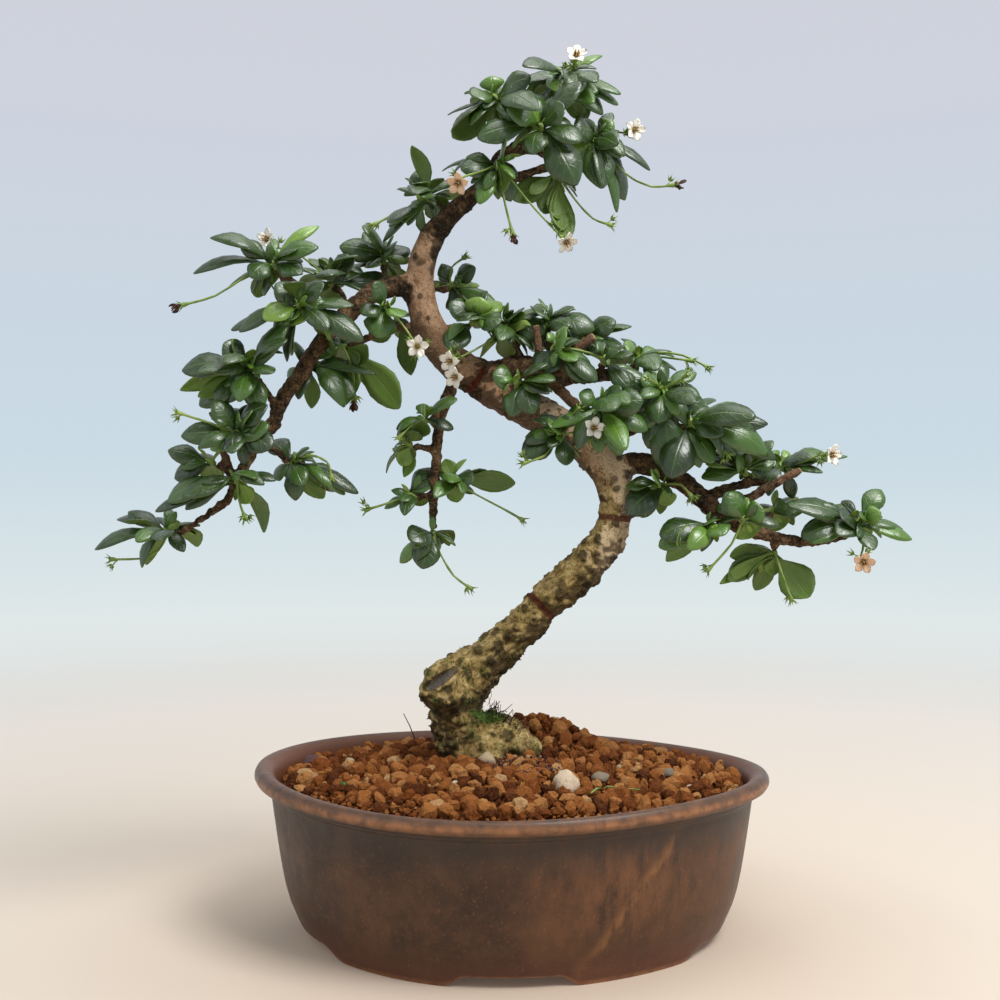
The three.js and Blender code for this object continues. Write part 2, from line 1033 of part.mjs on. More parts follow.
        leaves: [
          [-4, -16, -6, 12, 1],
          [-12, -8, -4, 11, 1],
          [-14, -14, 5, 7],
          [4, -6, 7, 7, -1],
          [-3, -8, 11, 9],
        ],
      },
    ],
    stalks: [[[3, -10, -2], [8, -19, -3], [14, -23, -3]]],
  },
  centre_top: {
    heads: [
      {
        from: ["trunk", 0.8],
        at: [-26, 262, 17],
        leaves: [
          [-3, 10, -3, 8, 1],
          [10, 7, 6, 5],
          [18, 2, 3, 7],
          [22, -10, -6, 8, 1],
          [2, -8, -12, 11, 1],
          [9, 2, 18, 9],
          [-9, 3, 17, 9],
          [12, 8, -5, 10, 1],
        ],
      },
    ],
    stalks: [[[1, 8, -5], [6, 11, -6]]],
  },
  centre_dark: {
    heads: [
      {
        from: ["trunk", 0.755],
        at: [-17, 247, -5],
        leaves: [
          [-8, -11, -12, 13, 1],
          [13, 0, -9, 12, 1],
          [13, 10, 5, 11],
          [-8, 8, -6, 11, 1],
          [5, 10, -9, 12, 1],
          [12, 12, 12, 7],
          [2, -3, -15, 12, 1],
        ],
      },
    ],
  },
  centre_mid: {
    heads: [
      {
        from: ["high_right", 0.3],
        at: [-1, 244, 1],
        leaves: [
          [15, 10, 5, 7],
          [5, 7, -13, 12, 1],
          [-4, -11, -10, 10, 1],
          [-12, -11, 2, 11],
          [9, -4, -12, 10, 1],
          [-4, 4, 18, 9],
          [11, 3, 17, 9],
          [-11, 4, -9, 11, 1],
          [13, 1, -12, 12, 1],
        ],
      },
    ],
    flowers: [
      { path: [[-8, -6, -13], [-19, -12, -16]], face: [-0.5, -0.3, -0.8], colour: "white", twin: [2, -6, 2] },
    ],
  },
  centre_right: {
    heads: [
      {
        from: ["high_right", 0.55],
        at: [15, 246, 4],
        leaves: [
          [-4, 12, 6, 7],
          [-6, 3, -8, 12, 1],
          [9, -8, -9, 10, 1],
          [20, 3, 5, 8],
          [11, 8, -3, 7],
          [3, 3, 20, 9],
          [15, 0, 15, 9],
          [-11, -6, -9, 11, 1],
          [14, -5, -10, 12, 1],
        ],
      },
    ],
  },
  centre_low: {
    heads: [
      {
        from: ["high_right", 0.5],
        at: [5, 223, -13],
        leaves: [
          [-5, -14, -6, 11, 1],
          [10, -8, 2, 9],
          [9, 1, -8, 9],
          [-12, 3, -7, 11, 1],
          [4, -13, -8, 11, 1],
        ],
      },
    ],
  },
  centre_flower: {
    heads: [
      {
        from: ["trunk", 0.57],
        at: [21, 201.5, -9],
        leaves: [
          [-16, -8, -6, 12, 1],
          [-3, -11, -9, 9, 1],
          [-6, 4, -12, 10, 1],
          [-9, 9, -3, 8],
          [10, 12, -4, 8],
        ],
      },
    ],
    flowers: [{ path: [[5, 1, -9], [9, 1, -14]], face: [0.3, 0.1, -1], colour: "white" }],
    stalks: [[[-7, -9, -9], [-14, -11, -12]], [[3, 7, -9], [5, 9, -13]]],
  },
  right_stub: {
    heads: [
      {
        from: ["high_right", 0.68],
        at: [29, 238, 7],
        leaves: [
          [21, 9, 2, 7],
          [17, -4, -10, 10, 1],
          [9, -7, -4, 10, -1],
          [-8, 10, -5, 9, 1],
          [-3, 4, 19, 9],
          [13, 1, 17, 9],
          [5, -8, -12, 12, 1],
          [14, 10, -5, 11, 1],
        ],
      },
    ],
  },
  right_in: {
    heads: [
      {
        from: ["high_right", 0.6],
        at: [19, 235, -12],
        leaves: [
          [15, -15, -4, 9, 1],
          [-4, 8, -4, 6],
          [13, -9, 5, 8],
          [7, -4, -12, 8],
          [3, 5, -13, 12, 1],
          [-10, -7, -6, 11, 1],
        ],
      },
      {
        from: ["high_right", 0.84],
        at: [38, 231, -7],
        leaves: [
          [10, -11, -7, 8, 1],
          [23, -17, -8, 9, 1],
          [11, 3, -9, 8],
          [-3, 8, -6, 8],
        ],
      },
    ],
  },
  right_top: {
    heads: [
      {
        from: ["high_right", 1],
        at: [51, 231.5, 15],
        leaves: [
          [-5, 8, -3, 9],
          [10, 6, 5, 7],
          [18, -3, 2, 5],
          [16, -6, 10, 11],
          [6, -5, -13, 11, 1],
          [0, 3, 20, 9],
          [-12, 0, 15, 9],
          [13, -9, -6, 12, 1],
        ],
      },
    ],
    stalks: [[[9, 4, -5], [19, 3, -7], [28, -2, -8]], [[10, 2, -6], [21, 0, -9]]],
  },
  right_mid: {
    heads: [
      {
        from: ["mid_right", 0.75],
        at: [62, 218, -9],
        leaves: [
          [15, -1, -4, 10, 1],
          [15, 8, 6, 9],
          [15, -7, -9, 9, 1],
          [-9, 7, -5, 9, 1],
          [-15, 1, -7, 9, 1],
          [-3, -12, -11, 13, 1],
          [-2, 9, 8, 9],
          [4, 2, 19, 9],
          [18, -12, -6, 12, 1],
        ],
      },
    ],
    stalks: [[[-3, 4, -8], [-6, 5, -12]], [[4, 4, -8], [7, 6, -11]]],
  },
  right_centre: {
    heads: [
      {
        from: ["mid_right", 0.28],
        at: [38, 211, -15],
        leaves: [
          [15, 4, -10, 12, 1],
          [9, 9, -5, 9, 1],
          [-1, -13, -8, 9, 1],
          [6, -16, -4, 9, 1],
          [-10, 7, -6, 9, 1],
          [17, 1, 4, 12, 1],
          [-13, -3, -8, 11, 1],
          [9, -8, -12, 12, 1],
        ],
      },
    ],
  },
  right_big: {
    heads: [
      {
        from: ["mid_right", 1],
        at: [73, 205, -11],
        leaves: [
          [-9, -21, -12, 16, 1],
          [18, 6, 5, 7],
          [18, 11, 10, 9],
          [31, 1, -5, 9, 1],
          [35, -13, -2, 8, 1],
          [3, -5, 15, 9],
          [15, -7, -9, 12, 1],
          [20, 7, -5, 12, 1],
        ],
      },
    ],
    stalks: [[[6, -4, -6], [13, -10, -8]]],
  },
  right_back: {
    heads: [
      {
        from: ["mid_right", 0.5],
        at: [56, 214, 15],
        leaves: [
          [14, 4, 10, 9],
          [-10, 6, 12, 10],
          [2, -4, 19, 10],
          [16, -6, 2, 9],
          [-14, -4, 6, 9],
        ],
      },
    ],
  },
  right_knot: {
    heads: [
      {
        from: ["low_right_twig", 0.6],
        at: [97, 184.5, -5],
        leaves: [
          [-14, 20, -3, 8, 1],
          [-23, 16, 4, 5],
          [-16, 10, -6, 7],
          [-18, 4, -8, 9],
          [7, 11, -5, 8, 1],
          [13, 5, -8, 8],
          [3, 13, 8, 8],
          [-6, 3, 18, 9],
          [-6, 8, -11, 11, 1],
          [15, 10, 1, 10, 1],
        ],
      },
    ],
  },
  right_far: {
    heads: [
      {
        from: ["low_right_twig", 1],
        at: [110, 187, 3],
        leaves: [
          [28, 6, -2, 8],
          [16, -1, -6, 5],
          [10, 7, 6, 9],
          [-3, 8, 4, 9],
          [8, 1, 18, 9],
          [13, 5, -7, 9, 1],
        ],
      },
    ],
    flowers: [{ path: [[8, 3, -6], [14, 6, -8]], face: [0.5, 0, -0.85], colour: "white" }],
  },
  right_under: {
    heads: [
      {
        from: ["low_right", 0.27],
        at: [64, 181, -9],
        leaves: [
          [-14, -12, -3, 11, 1],
          [-16, 0, 3, 10],
          [1, -7, -3, 8, -1],
          [-7, 4, -10, 9, 1],
        ],
      },
    ],
    stalks: [[[5, 1, -5], [8, -3, -7]]],
  },
  low_left: {
    heads: [
      {
        from: ["low_right", 0.45],
        at: [82, 165, -14],
        leaves: [
          [-21, -9, -4, 11, 1],
          [-17, -15, 5, 10, -1],
          [3, -4, -14, 11, 1],
          [-6, 2, 12, 9],
        ],
      },
    ],
  },
  low_mid: {
    heads: [
      {
        from: ["low_right", 0.56],
        at: [95, 165.5, -16],
        leaves: [
          [-8, 12, -6, 12, 1],
          [14, -1, -5, 6],
          [4, -10, 3, 12, -1],
          [7, 6, -7, 10, 1],
        ],
      },
      {
        from: ["low_right", 0.66],
        at: [107, 169, 5],
        leaves: [
          [4, 5, -10, 9, 1],
          [-6, -5, -4, 11, -1],
          [6, -6, 6, 12, -1],
          [15, 2, 3, 11, -1],
          [-3, 2, 19, 9],
          [12, 2, 15, 9],
        ],
      },
    ],
    stalks: [[[-4, -8, -4], [-13, -17, -6]]],
  },
  low_knob: {
    heads: [
      {
        from: ["low_right", 0.7],
        at: [108.5, 154.5, -5],
        leaves: [
          [-22, -14, 2, 6, -1],
          [0, -11, 4, 8, -1],
          [13, -19, -3, 16, -1],
        ],
      },
    ],
    stalks: [[[2, -9, -4], [5, -18, -5]]],
  },
  low_end: {
    heads: [
      {
        from: ["low_right", 1],
        at: [141, 163, -8],
        leaves: [
          [-18, 9, -3, 9, 1],
          [12, 16, 3, 9, 1],
          [-6, 10, 5, 10],
          [23, -4, -2, 7],
          [16, -1, 6, 8],
          [-10, -2, -12, 10, 1],
          [-20, -5, -6, 9],
          [4, -17, 2, 8, 1],
          [3, 4, 18, 9],
          [-8, 5, -11, 11, 1],
          [9, 7, -7, 9, 1],
        ],
      },
    ],
    flowers: [{ path: [[3, -6, -6], [0, -11, -9]], face: [-0.1, -0.2, -1], colour: "peach" }],
  },
};

const step = ([right, up, back]) => new THREE.Vector3(right, back, up);

// A leaf blade is flat below and has a low roof above, thickest on its midrib. Stations are
// [share of its length, share of its width]: a stalk at the foot, and widest past the middle. Small
// leaves have a station fewer.
const STATIONS = [
  [0, 0.1],
  [0.36, 0.78],
  [0.74, 0.96],
];
const SMALL_STATIONS = [
  [0, 0.12],
  [0.62, 1],
];
const SMALL_WIDTH = 12.5;
const RIB_ABOVE = 0.7;
const EDGE_BELOW = 0.5;

function blade(root, tip, width, facing, rise, grow = 0, from = 0) {
  const stations = width < SMALL_WIDTH ? SMALL_STATIONS : STATIONS;
  const run = tip.clone().sub(root);
  const length = run.length();
  const forward = run.clone().divideScalar(length);
  const up = facing.clone().addScaledVector(forward, -facing.dot(forward)).normalize();
  const side = new THREE.Vector3().crossVectors(forward, up);
  const rib = (s) => {
    const arch = rise * length * 4 * s * (1 - s);
    return root.clone().addScaledVector(run, s).addScaledVector(up, arch);
  };
  const rings = stations.map(([s, share]) => {
    const half = (width * share) / 2 + grow;
    const thin = s === 0 ? 0.6 : 1;
    const point = (across, above) => rib(s).addScaledVector(side, across).addScaledVector(up, above);
    return [
      point(-half, -EDGE_BELOW * thin - grow),
      point(0, RIB_ABOVE * thin + grow),
      point(half, -EDGE_BELOW * thin - grow),
    ];
  });
  const end = [rib(1).addScaledVector(forward, grow)];
  rings[0] = rings[0].map((p, i) => p.lerp(rings[1][i], from / stations[1][0]));
  return skin([...rings, end]);
}

// A thin stalk or stem through given points.
function stem(points, radius, sides, steps) {
  const curve = new THREE.CatmullRomCurve3(points, false, "centripetal");
  const frames = curve.computeFrenetFrames(steps, false);
  const rings = [];
  for (let i = 0; i <= steps; i += 1) {
    const centre = curve.getPoint(i / steps);
    rings.push(
      Array.from({ length: sides }, (_, j) => {
        const angle = (2 * Math.PI * j) / sides;
        return centre
          .clone()
          .addScaledVector(frames.normals[i], Math.cos(angle) * radius)
          .addScaledVector(frames.binormals[i], Math.sin(angle) * radius);
      }),
    );
  }
  return skin(rings);
}

// Two directions square to a given one.
function squareTo(direction) {
  const helper = Math.abs(direction.z) < 0.9 ? new THREE.Vector3(0, 0, 1) : new THREE.Vector3(1, 0, 0);
  const first = new THREE.Vector3().crossVectors(direction, helper).normalize();
  return [first, new THREE.Vector3().crossVectors(direction, first)];
}

// The green cup at the end of a flower stalk: a small four-sided bud shape.
const CALYX_LENGTH = 4;
const CALYX_RADIUS = 1.5;

function calyx(foot, direction) {
  const [first, second] = squareTo(direction);
  const ring = Array.from({ length: 4 }, (_, i) => {
    const angle = (2 * Math.PI * i) / 4;
    return foot
      .clone()
      .addScaledVector(direction, CALYX_LENGTH * 0.55)
      .addScaledVector(first, Math.cos(angle) * CALYX_RADIUS)
      .addScaledVector(second, Math.sin(angle) * CALYX_RADIUS);
  });
  return skin([
    [foot.clone().addScaledVector(direction, -0.6)],
    ring,
    [foot.clone().addScaledVector(direction, CALYX_LENGTH)],
  ]);
}

// An open flower: five round petals in a shallow cup, as one star-shaped plate.
const FLOWER_RADIUS = 4.8;
const PETAL_OUTLINE = [
  [-36, 0.5],
  [-22, 0.92],
  [0, 1],
  [22, 0.92],
];

function corolla(centre, direction, grow = 0) {
  const [first, second] = squareTo(direction);
  const ring = [];
  for (let petal = 0; petal < 5; petal += 1) {
    for (const [degrees, share] of PETAL_OUTLINE) {
      const angle = THREE.MathUtils.degToRad(72 * petal + degrees);
      const radius = FLOWER_RADIUS * share + grow;
      ring.push(
        centre
          .clone()
          .addScaledVector(first, Math.cos(angle) * radius)
          .addScaledVector(second, Math.sin(angle) * radius)
          .addScaledVector(direction, 1.1 * share),
      );
    }
  }
  return skin([
    [centre.clone().addScaledVector(direction, -0.5 - grow)],
    ring,
    [centre.clone().addScaledVector(direction, 0.8 + grow)],
  ]);
}

// The twig that carries a head: it leaves its limb, swells into a scarred knob and ends there.
function twigRows(head) {
  const foot = onLimb(...head.from);
  const top = at(head.at);
  const reach = foot.distanceTo(top);
  const middle = foot.clone().lerp(top, 0.5);
  middle.z += 0.1 * reach;
  const rows = [foot, middle, foot.clone().lerp(top, 0.86), top];
  return { rows, reach };
}

function twig(head, extra) {
  const { rows, reach } = twigRows(head);
  const curve = new THREE.CatmullRomCurve3(rows, false, "centripetal");
  const steps = reach > 14 ? 3 : 2;
  const frames = curve.computeFrenetFrames(steps, false);
  const thick = [2.2, 1.8, 2.4, 2.0].slice(3 - steps);
  const rings = thick.map((radius, i) => {
    const centre = curve.getPoint(i / steps);
    if (i === steps) centre.addScaledVector(frames.tangents[i], extra);
    return Array.from({ length: 3 }, (_, j) => {
      const angle = (2 * Math.PI * j) / 3;
      return centre
        .clone()
        .addScaledVector(frames.normals[i], Math.cos(angle) * (radius + extra))
        .addScaledVector(frames.binormals[i], Math.sin(angle) * (radius + extra));
    });
  });
  return skin(rings);
}

function makeWood(extra) {
  const limbs = Object.values(LIMBS).map(({ rows, sides, steps }) => limb(rows, sides, steps, extra));
  const twigs = Object.values(SHOOTS).flatMap(({ heads }) => heads.map((head) => twig(head, extra)));
  return fuse([...limbs, ...twigs]);
}

// What is already in place, so that no later leaf crosses it.
const placed = [];
const touches = (a, b) => {
  const p = a.box;
  const q = b.box;
  for (let k = 0; k < 3; k += 1) if (p.min[k] > q.max[k] || q.min[k] > p.max[k]) return false;
  return a.body.intersect(b.body).volume() > 1e-4;
};
const boxed = (body) => ({ body, box: body.boundingBox() });

const wood = smoothed(makeWood(0));
const woodClear = boxed(makeWood(CLEARANCE));
const STEM_LENGTH = 5;
const STEM_RADIUS = 1.6;

// Each shoot's state while it is built up: the stems, stalks and leaves that will be fused.
const shoots = Object.entries(SHOOTS).map(([name, row]) => {
  const parts = [];
  const heads = row.heads.map((head) => {
    const top = at(head.at);
    const { rows } = twigRows(head);
    const growth = top.clone().sub(rows[2]).normalize();
    growth.add(new THREE.Vector3(0, 0, 0.35)).normalize();
    const end = top.clone().addScaledVector(growth, STEM_LENGTH);
    parts.push(stem([top.clone().addScaledVector(growth, -1), end], STEM_RADIUS, 3, 1));
    return { top, growth, leaves: head.leaves };
  });
  if (heads.length > 1) {
    const [a, b] = heads;
    const middle = a.top.clone().lerp(b.top, 0.5).add(new THREE.Vector3(0, -5, 3));
    const inside = (head) => head.top.clone().addScaledVector(head.growth, 3);
    parts.push(stem([inside(a), middle, inside(b)], 0.9, 3, 3));
  }
  for (const part of parts) placed.push({ owner: name, stem: true, ...boxed(part), outer: null });
  return { name, row, heads, parts };
});

// Flowers and stalks come first, because leaves make room for them.
const flowers = [];
for (const shoot of shoots) {
  const [{ top, growth }] = shoot.heads;
  const base = top.clone().addScaledVector(growth, 2.5);
  const reach = (path) => [base, ...path.map((p) => top.clone().add(step(p)))];
  const addStalk = (points) => {
    const last = points[points.length - 1];
    const direction = last.clone().sub(points[points.length - 2]).normalize();
    const body = fuse([stem(points, 0.5, 3, points.length - 1), calyx(last, direction)]);
    shoot.parts.push(body);
    placed.push({ owner: shoot.name, ...boxed(body), outer: null });
    return { last, direction };
  };
  for (const path of shoot.row.stalks ?? []) addStalk(reach(path));
  for (const { path, face, colour, twin } of shoot.row.flowers ?? []) {
    const points = reach(path);
    const facing = new THREE.Vector3(face[0], face[2], face[1]).normalize();
    points.push(points[points.length - 1].clone().addScaledVector(facing, 3));
    const { last } = addStalk(points);
    const centre = last.clone().addScaledVector(facing, CALYX_LENGTH + 0.5 + CLEARANCE);
    const centres = twin ? [centre, centre.clone().add(step(twin))] : [centre];
    flowers.push({ colour, body: fuse(centres.map((c) => corolla(c, facing))) });
    const room = boxed(fuse(centres.map((c) => corolla(c, facing, CLEARANCE))));
    placed.push({ owner: "flower", ...room, outer: null });
  }
}

// One try at a leaf. It fails if the leaf would cross wood, a flower or another leaf.
const SHORTEST_LEAF = 7;
function tryLeaf(shoot, head, index, count, tipStep, width, shown) {
  const lift = THREE.MathUtils.clamp(0.5 + tipStep.z / 40, 0.15, 0.95);
  const root = head.top.clone().addScaledVector(head.growth, STEM_LENGTH * mix(lift, index / count, 0.35));
  const tip = head.top.clone().add(tipStep);
  const facing = new THREE.Vector3(0, tipStep.y > 10 ? 0.4 : -0.75, 1);
  if (shown === 1) facing.set(0, -1, 0.45);
  if (shown === -1) facing.set(0, 1, 0.3);
  facing.add(new THREE.Vector3(random() - 0.5, random() - 0.5, random() - 0.5).multiplyScalar(0.5));
  const rise = mix(0.07, 0.17, random());
  const whole = boxed(blade(root, tip, width, facing, rise, CLEARANCE));
  const outer = boxed(blade(root, tip, width, facing, rise, CLEARANCE, 0.28));
  const beyond = boxed(blade(root, tip, width, facing, rise, 0, 0.08));
  if (tip.distanceTo(root) < SHORTEST_LEAF || touches(beyond, woodClear)) return false;
  const body = boxed(blade(root, tip, width, facing, rise));
  for (const other of placed) {
    const own = other.owner === shoot.name;
    if (own && other.stem) continue;
    if (own && (touches(outer, other) || (other.outer && touches(other.outer, body)))) return false;
    if (!own && touches(whole, other)) return false;
  }
  placed.push({ owner: shoot.name, ...body, outer });
  shoot.parts.push(body.body);
  return true;
}

// A leaf that has no room is turned and shortened a little, a few times over, before it is given up.
const TRIES = 24;
function addLeaf(shoot, head, index, count, tipStep, width, shown) {
  for (let n = 0; n < TRIES; n += 1) {
    const wander = n * 0.9;
    const moved = tipStep
      .clone()
      .multiplyScalar(1 - 0.012 * n)
      .add(new THREE.Vector3(random() - 0.5, 2.5 * (random() - 0.5), random() - 0.5).multiplyScalar(wander));
    if (tryLeaf(shoot, head, index, count, moved, width, shown)) return;
  }
}

for (const shoot of shoots) {
  for (const head of shoot.heads) {
    head.leaves.forEach(([right, up, back, width, shown = 0], i) => {
      addLeaf(shoot, head, i, head.leaves.length, step([right, up, back]), width, shown);
    });
  }
}

// One more leaf fills each head from behind.
for (const shoot of shoots) {
  for (const head of shoot.heads) {
    const angle = Math.PI / 2 + mix(-0.9, 0.9, random());
    const reach = mix(15, 20, random());
    const rise = mix(-0.45, 0.3, random());
    const out = new THREE.Vector3(Math.cos(angle) * reach * 0.8, Math.sin(angle) * reach, rise * reach);
    addLeaf(shoot, head, 0, 1, out, mix(9, 12, random()), 0);
  }
}

// Finishes: colour, roughness.
const FINISHES = {
  pot: [0x4a3a33, 0.45],
  soil: [0x8a5330, 0.95],
  wood: [0x7d6448, 0.9],
  leaf: [0x33552b, 0.35],
  white: [0xf3eee0, 0.6],
  peach: [0xe9b48c, 0.6],
  screen: [0x2f4a36, 0.7],
};

const bonsai = new THREE.Group();
bonsai.name = "fukien_tea_bonsai";

function addMesh(name, finish, body) {
  const { vertProperties, triVerts } = body.getMesh();
  const geometry = new THREE.BufferGeometry();
  geometry.setAttribute("position", new THREE.BufferAttribute(new Float32Array(vertProperties), 3));
  geometry.setIndex(new THREE.BufferAttribute(new Uint32Array(triVerts), 1));
  geometry.computeVertexNormals();
  const [color, roughness] = FINISHES[finish];
  const mesh = new THREE.Mesh(geometry, new THREE.MeshStandardMaterial({ color, roughness, metalness: 0 }));
  mesh.name = name;
  bonsai.add(mesh);
}

const soil = makeSoil();
const screenRoom = fuse(
  [-1, 1].map((side) => {
    const room = SCREEN_SIZE + 2 * CLEARANCE;
    const geometry = new THREE.BoxGeometry(room, room, 2 * SCREEN_THICKNESS + 2 * CLEARANCE);
    return fromGeometry(geometry.translate((side * DRAIN_SPACING) / 2, 0, FLOOR_TOP + CLEARANCE));
  }),
);
addMesh("pot", "pot", makePot());
addMesh("soil", "soil", largest(soil.subtract(fuse([makeWood(2 * CLEARANCE), screenRoom]))));
addMesh("drain_screen_left", "screen", makeScreen(-1));
addMesh("drain_screen_right", "screen", makeScreen(1));
addMesh("trunk_and_branches", "wood", wood);
for (const shoot of shoots) {
  const cut = largest(fuse(shoot.parts).subtract(woodClear.body));
  addMesh(`shoot_${shoot.name}`, "leaf", smoothed(cut));
}
flowers.forEach(({ colour, body }, i) => addMesh(`flower_${colour}_${i + 1}`, colour, body));

export default bonsai;
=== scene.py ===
# %% [markdown]
# # A fukien tea bonsai in its pot
# The CAD model gives every solid's place and size. This lesson dresses it: a glazed pot, baked clay
# grains, knobbly old bark, waxy leaves and small pale flowers. Lengths are in metres, as Blender's own
# unit is, and a size that a grower would give in millimetres is multiplied by MM.

import json
import math
import random

import bmesh
import bpy
import numpy as np
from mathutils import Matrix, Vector, kdtree, noise
from mathutils.bvhtree import BVHTree

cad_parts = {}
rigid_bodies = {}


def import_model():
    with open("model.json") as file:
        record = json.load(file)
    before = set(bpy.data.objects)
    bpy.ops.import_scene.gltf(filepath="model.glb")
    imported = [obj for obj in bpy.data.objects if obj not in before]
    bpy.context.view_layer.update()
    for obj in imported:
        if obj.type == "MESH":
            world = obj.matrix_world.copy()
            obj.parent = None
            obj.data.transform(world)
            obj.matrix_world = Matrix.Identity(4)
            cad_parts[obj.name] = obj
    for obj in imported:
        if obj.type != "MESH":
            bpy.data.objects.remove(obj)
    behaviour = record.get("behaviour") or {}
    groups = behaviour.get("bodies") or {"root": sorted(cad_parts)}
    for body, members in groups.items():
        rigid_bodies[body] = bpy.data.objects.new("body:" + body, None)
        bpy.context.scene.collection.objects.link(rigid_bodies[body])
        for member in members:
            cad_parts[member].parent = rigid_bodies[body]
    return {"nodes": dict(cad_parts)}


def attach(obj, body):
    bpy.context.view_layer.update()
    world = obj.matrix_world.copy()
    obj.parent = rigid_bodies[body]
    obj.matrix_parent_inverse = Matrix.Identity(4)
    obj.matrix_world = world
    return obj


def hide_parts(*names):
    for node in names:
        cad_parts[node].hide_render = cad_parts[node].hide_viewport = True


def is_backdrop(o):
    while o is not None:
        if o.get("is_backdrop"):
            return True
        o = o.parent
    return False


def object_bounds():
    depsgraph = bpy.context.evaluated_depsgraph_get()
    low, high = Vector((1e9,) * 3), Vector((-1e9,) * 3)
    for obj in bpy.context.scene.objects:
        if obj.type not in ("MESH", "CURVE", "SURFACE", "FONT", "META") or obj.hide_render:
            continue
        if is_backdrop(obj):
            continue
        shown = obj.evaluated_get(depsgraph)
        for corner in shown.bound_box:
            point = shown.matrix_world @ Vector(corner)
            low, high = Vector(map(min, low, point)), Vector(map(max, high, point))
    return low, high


MM = 0.001
for left_over in list(bpy.data.objects):
    bpy.data.objects.remove(left_over)
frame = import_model()
nodes = frame["nodes"]
cad_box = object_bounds()
print("CAD nodes:", len(nodes), "box:", cad_box)

# %% [markdown]
# ## The camera
# The picture was taken level, about half a metre in front of the pot, at the height of the trunk's bend.
# A level camera keeps upright lines upright, so no shift is needed. The same numbers turn a place in the
# picture into a line of sight, which later puts a knot or a stone where it is seen.

# %% Camera
EYE = Vector((-4.4, -525, 175)) * MM
LENS, SENSOR, PICTURE = 45.97, 36, 1000
FOCAL = LENS / SENSOR * PICTURE
camera_data = bpy.data.cameras.new("camera")
camera_data.sensor_width = SENSOR
camera_data.lens = LENS
camera_data.clip_start = 10 * MM
camera = bpy.data.objects.new("camera", camera_data)
camera.location = EYE
camera.rotation_euler = (math.radians(90), 0, 0)
bpy.context.scene.collection.objects.link(camera)
bpy.context.scene.camera = camera


def sight(across, down):
    """The direction from the camera through a place in the picture, in pixels from its top left corner."""
    middle = PICTURE / 2
    return Vector(((across - middle) / FOCAL, 1, (middle - down) / FOCAL))


def seen_at(point):
    """The place in the picture, in pixels, at which a point is seen."""
    away = point - EYE
    return PICTURE / 2 + FOCAL * away.x / away.y, PICTURE / 2 - FOCAL * away.z / away.y


print("the origin is seen at:", seen_at(Vector((0, 0, 0))))

# %% [markdown]
# ## Small tools
# A colour is written as it looks on a screen, and one function turns it to the linear values that
# Blender mixes. One more adds a node with its settings and its links, so that each material below reads
# as a short list. The others make a mesh object, turn an evaluated object into a plain mesh, say what a
# finished piece stands for, and give the faces between rings of points and round a thin sheet.

# %% Colour and node tools
COORDS = "ShaderNodeTexCoord"
ATTRIBUTE = "ShaderNodeAttribute"
NOISE = "ShaderNodeTexNoise"
CELLS = "ShaderNodeTexVoronoi"
RAMP = "ShaderNodeValToRGB"
RANGE = "ShaderNodeMapRange"
MATH = "ShaderNodeMath"
VECTOR = "ShaderNodeVectorMath"
BLEND = "ShaderNodeMix"
BUMP = "ShaderNodeBump"
CHANCE = "FunctionNodeRandomValue"


def linear(code):
    """A hex colour such as '#4e382b' as linear red, green, blue and alpha."""
    parts = [int(code[i : i + 2], 16) / 255 for i in (1, 3, 5)]
    return [p / 12.92 if p <= 0.04045 else ((p + 0.055) / 1.055) ** 2.4 for p in parts] + [1]


def add(tree, kind, inputs=None, stops=(), **settings):
    """Adds a node with its settings and links.

    An input is named, or numbered where names repeat. It takes a value, a hex colour, or a socket or
    node to link, and a node stands for its first output in use. stops gives a colour ramp its places,
    each with a hex colour or a grey."""
    made = tree.nodes.new(kind)
    for name, value in settings.items():
        setattr(made, name, value)
    for name, value in (inputs or {}).items():
        socket = made.inputs[name]
        if isinstance(name, str) and not socket.enabled:
            socket = next(s for s in made.inputs if s.name == name and s.enabled)
        if isinstance(value, bpy.types.Node):
            value = next(s for s in value.outputs if s.enabled)
        if isinstance(value, bpy.types.NodeSocket):
            tree.links.new(value, socket)
        else:
            hex_colour = isinstance(value, str) and value.startswith("#")
            socket.default_value = linear(value) if hex_colour else value
    for i, (place, tone) in enumerate(stops):
        band = made.color_ramp.elements
        element = band[i] if i < 2 else band.new(1)
        element.position = place
        element.color = linear(tone) if isinstance(tone, str) else (tone, tone, tone, 1)
    return made


def new_material(name):
    """A named material, the tree to build on and its shader."""
    made = bpy.data.materials.new(name)
    made.use_nodes = True
    tree = made.node_tree
    return made, tree, tree.nodes["Principled BSDF"]


def finish_material(tree, shader, **values):
    """Links a node to the shader's socket, or sets a number there. Base_Color stands for Base Color."""
    for name, value in values.items():
        socket = shader.inputs[name.replace("_", " ")]
        if isinstance(value, bpy.types.Node):
            tree.links.new(next(s for s in value.outputs if s.enabled), socket)
        else:
            socket.default_value = value


# %% Mesh tools
def mesh_object(name, points, faces, *materials, smooth=True):
    """An object at the origin whose place is in its mesh."""
    mesh = bpy.data.meshes.new(name)
    mesh.from_pydata([tuple(p) for p in points], [], [tuple(f) for f in faces])
    for material in materials:
        mesh.materials.append(material)
    mesh.polygons.foreach_set("use_smooth", [smooth] * len(mesh.polygons))
    made = bpy.data.objects.new(name, mesh)
    bpy.context.scene.collection.objects.link(made)
    return made


def store(made, **values):
    """Stores one number for each of an object's points under each name, for its material to read."""
    for name, numbers in values.items():
        layer = made.data.attributes.new(name, "FLOAT", "POINT")
        layer.data.foreach_set("value", np.asarray(numbers, dtype=np.float32))


def baked(made):
    """Turns what an object's modifiers make into its own plain mesh, and removes them."""
    graph = bpy.context.evaluated_depsgraph_get()
    mesh = bpy.data.meshes.new_from_object(made.evaluated_get(graph))
    made.modifiers.clear()
    old = made.data
    made.data = mesh
    bpy.data.meshes.remove(old)
    return made


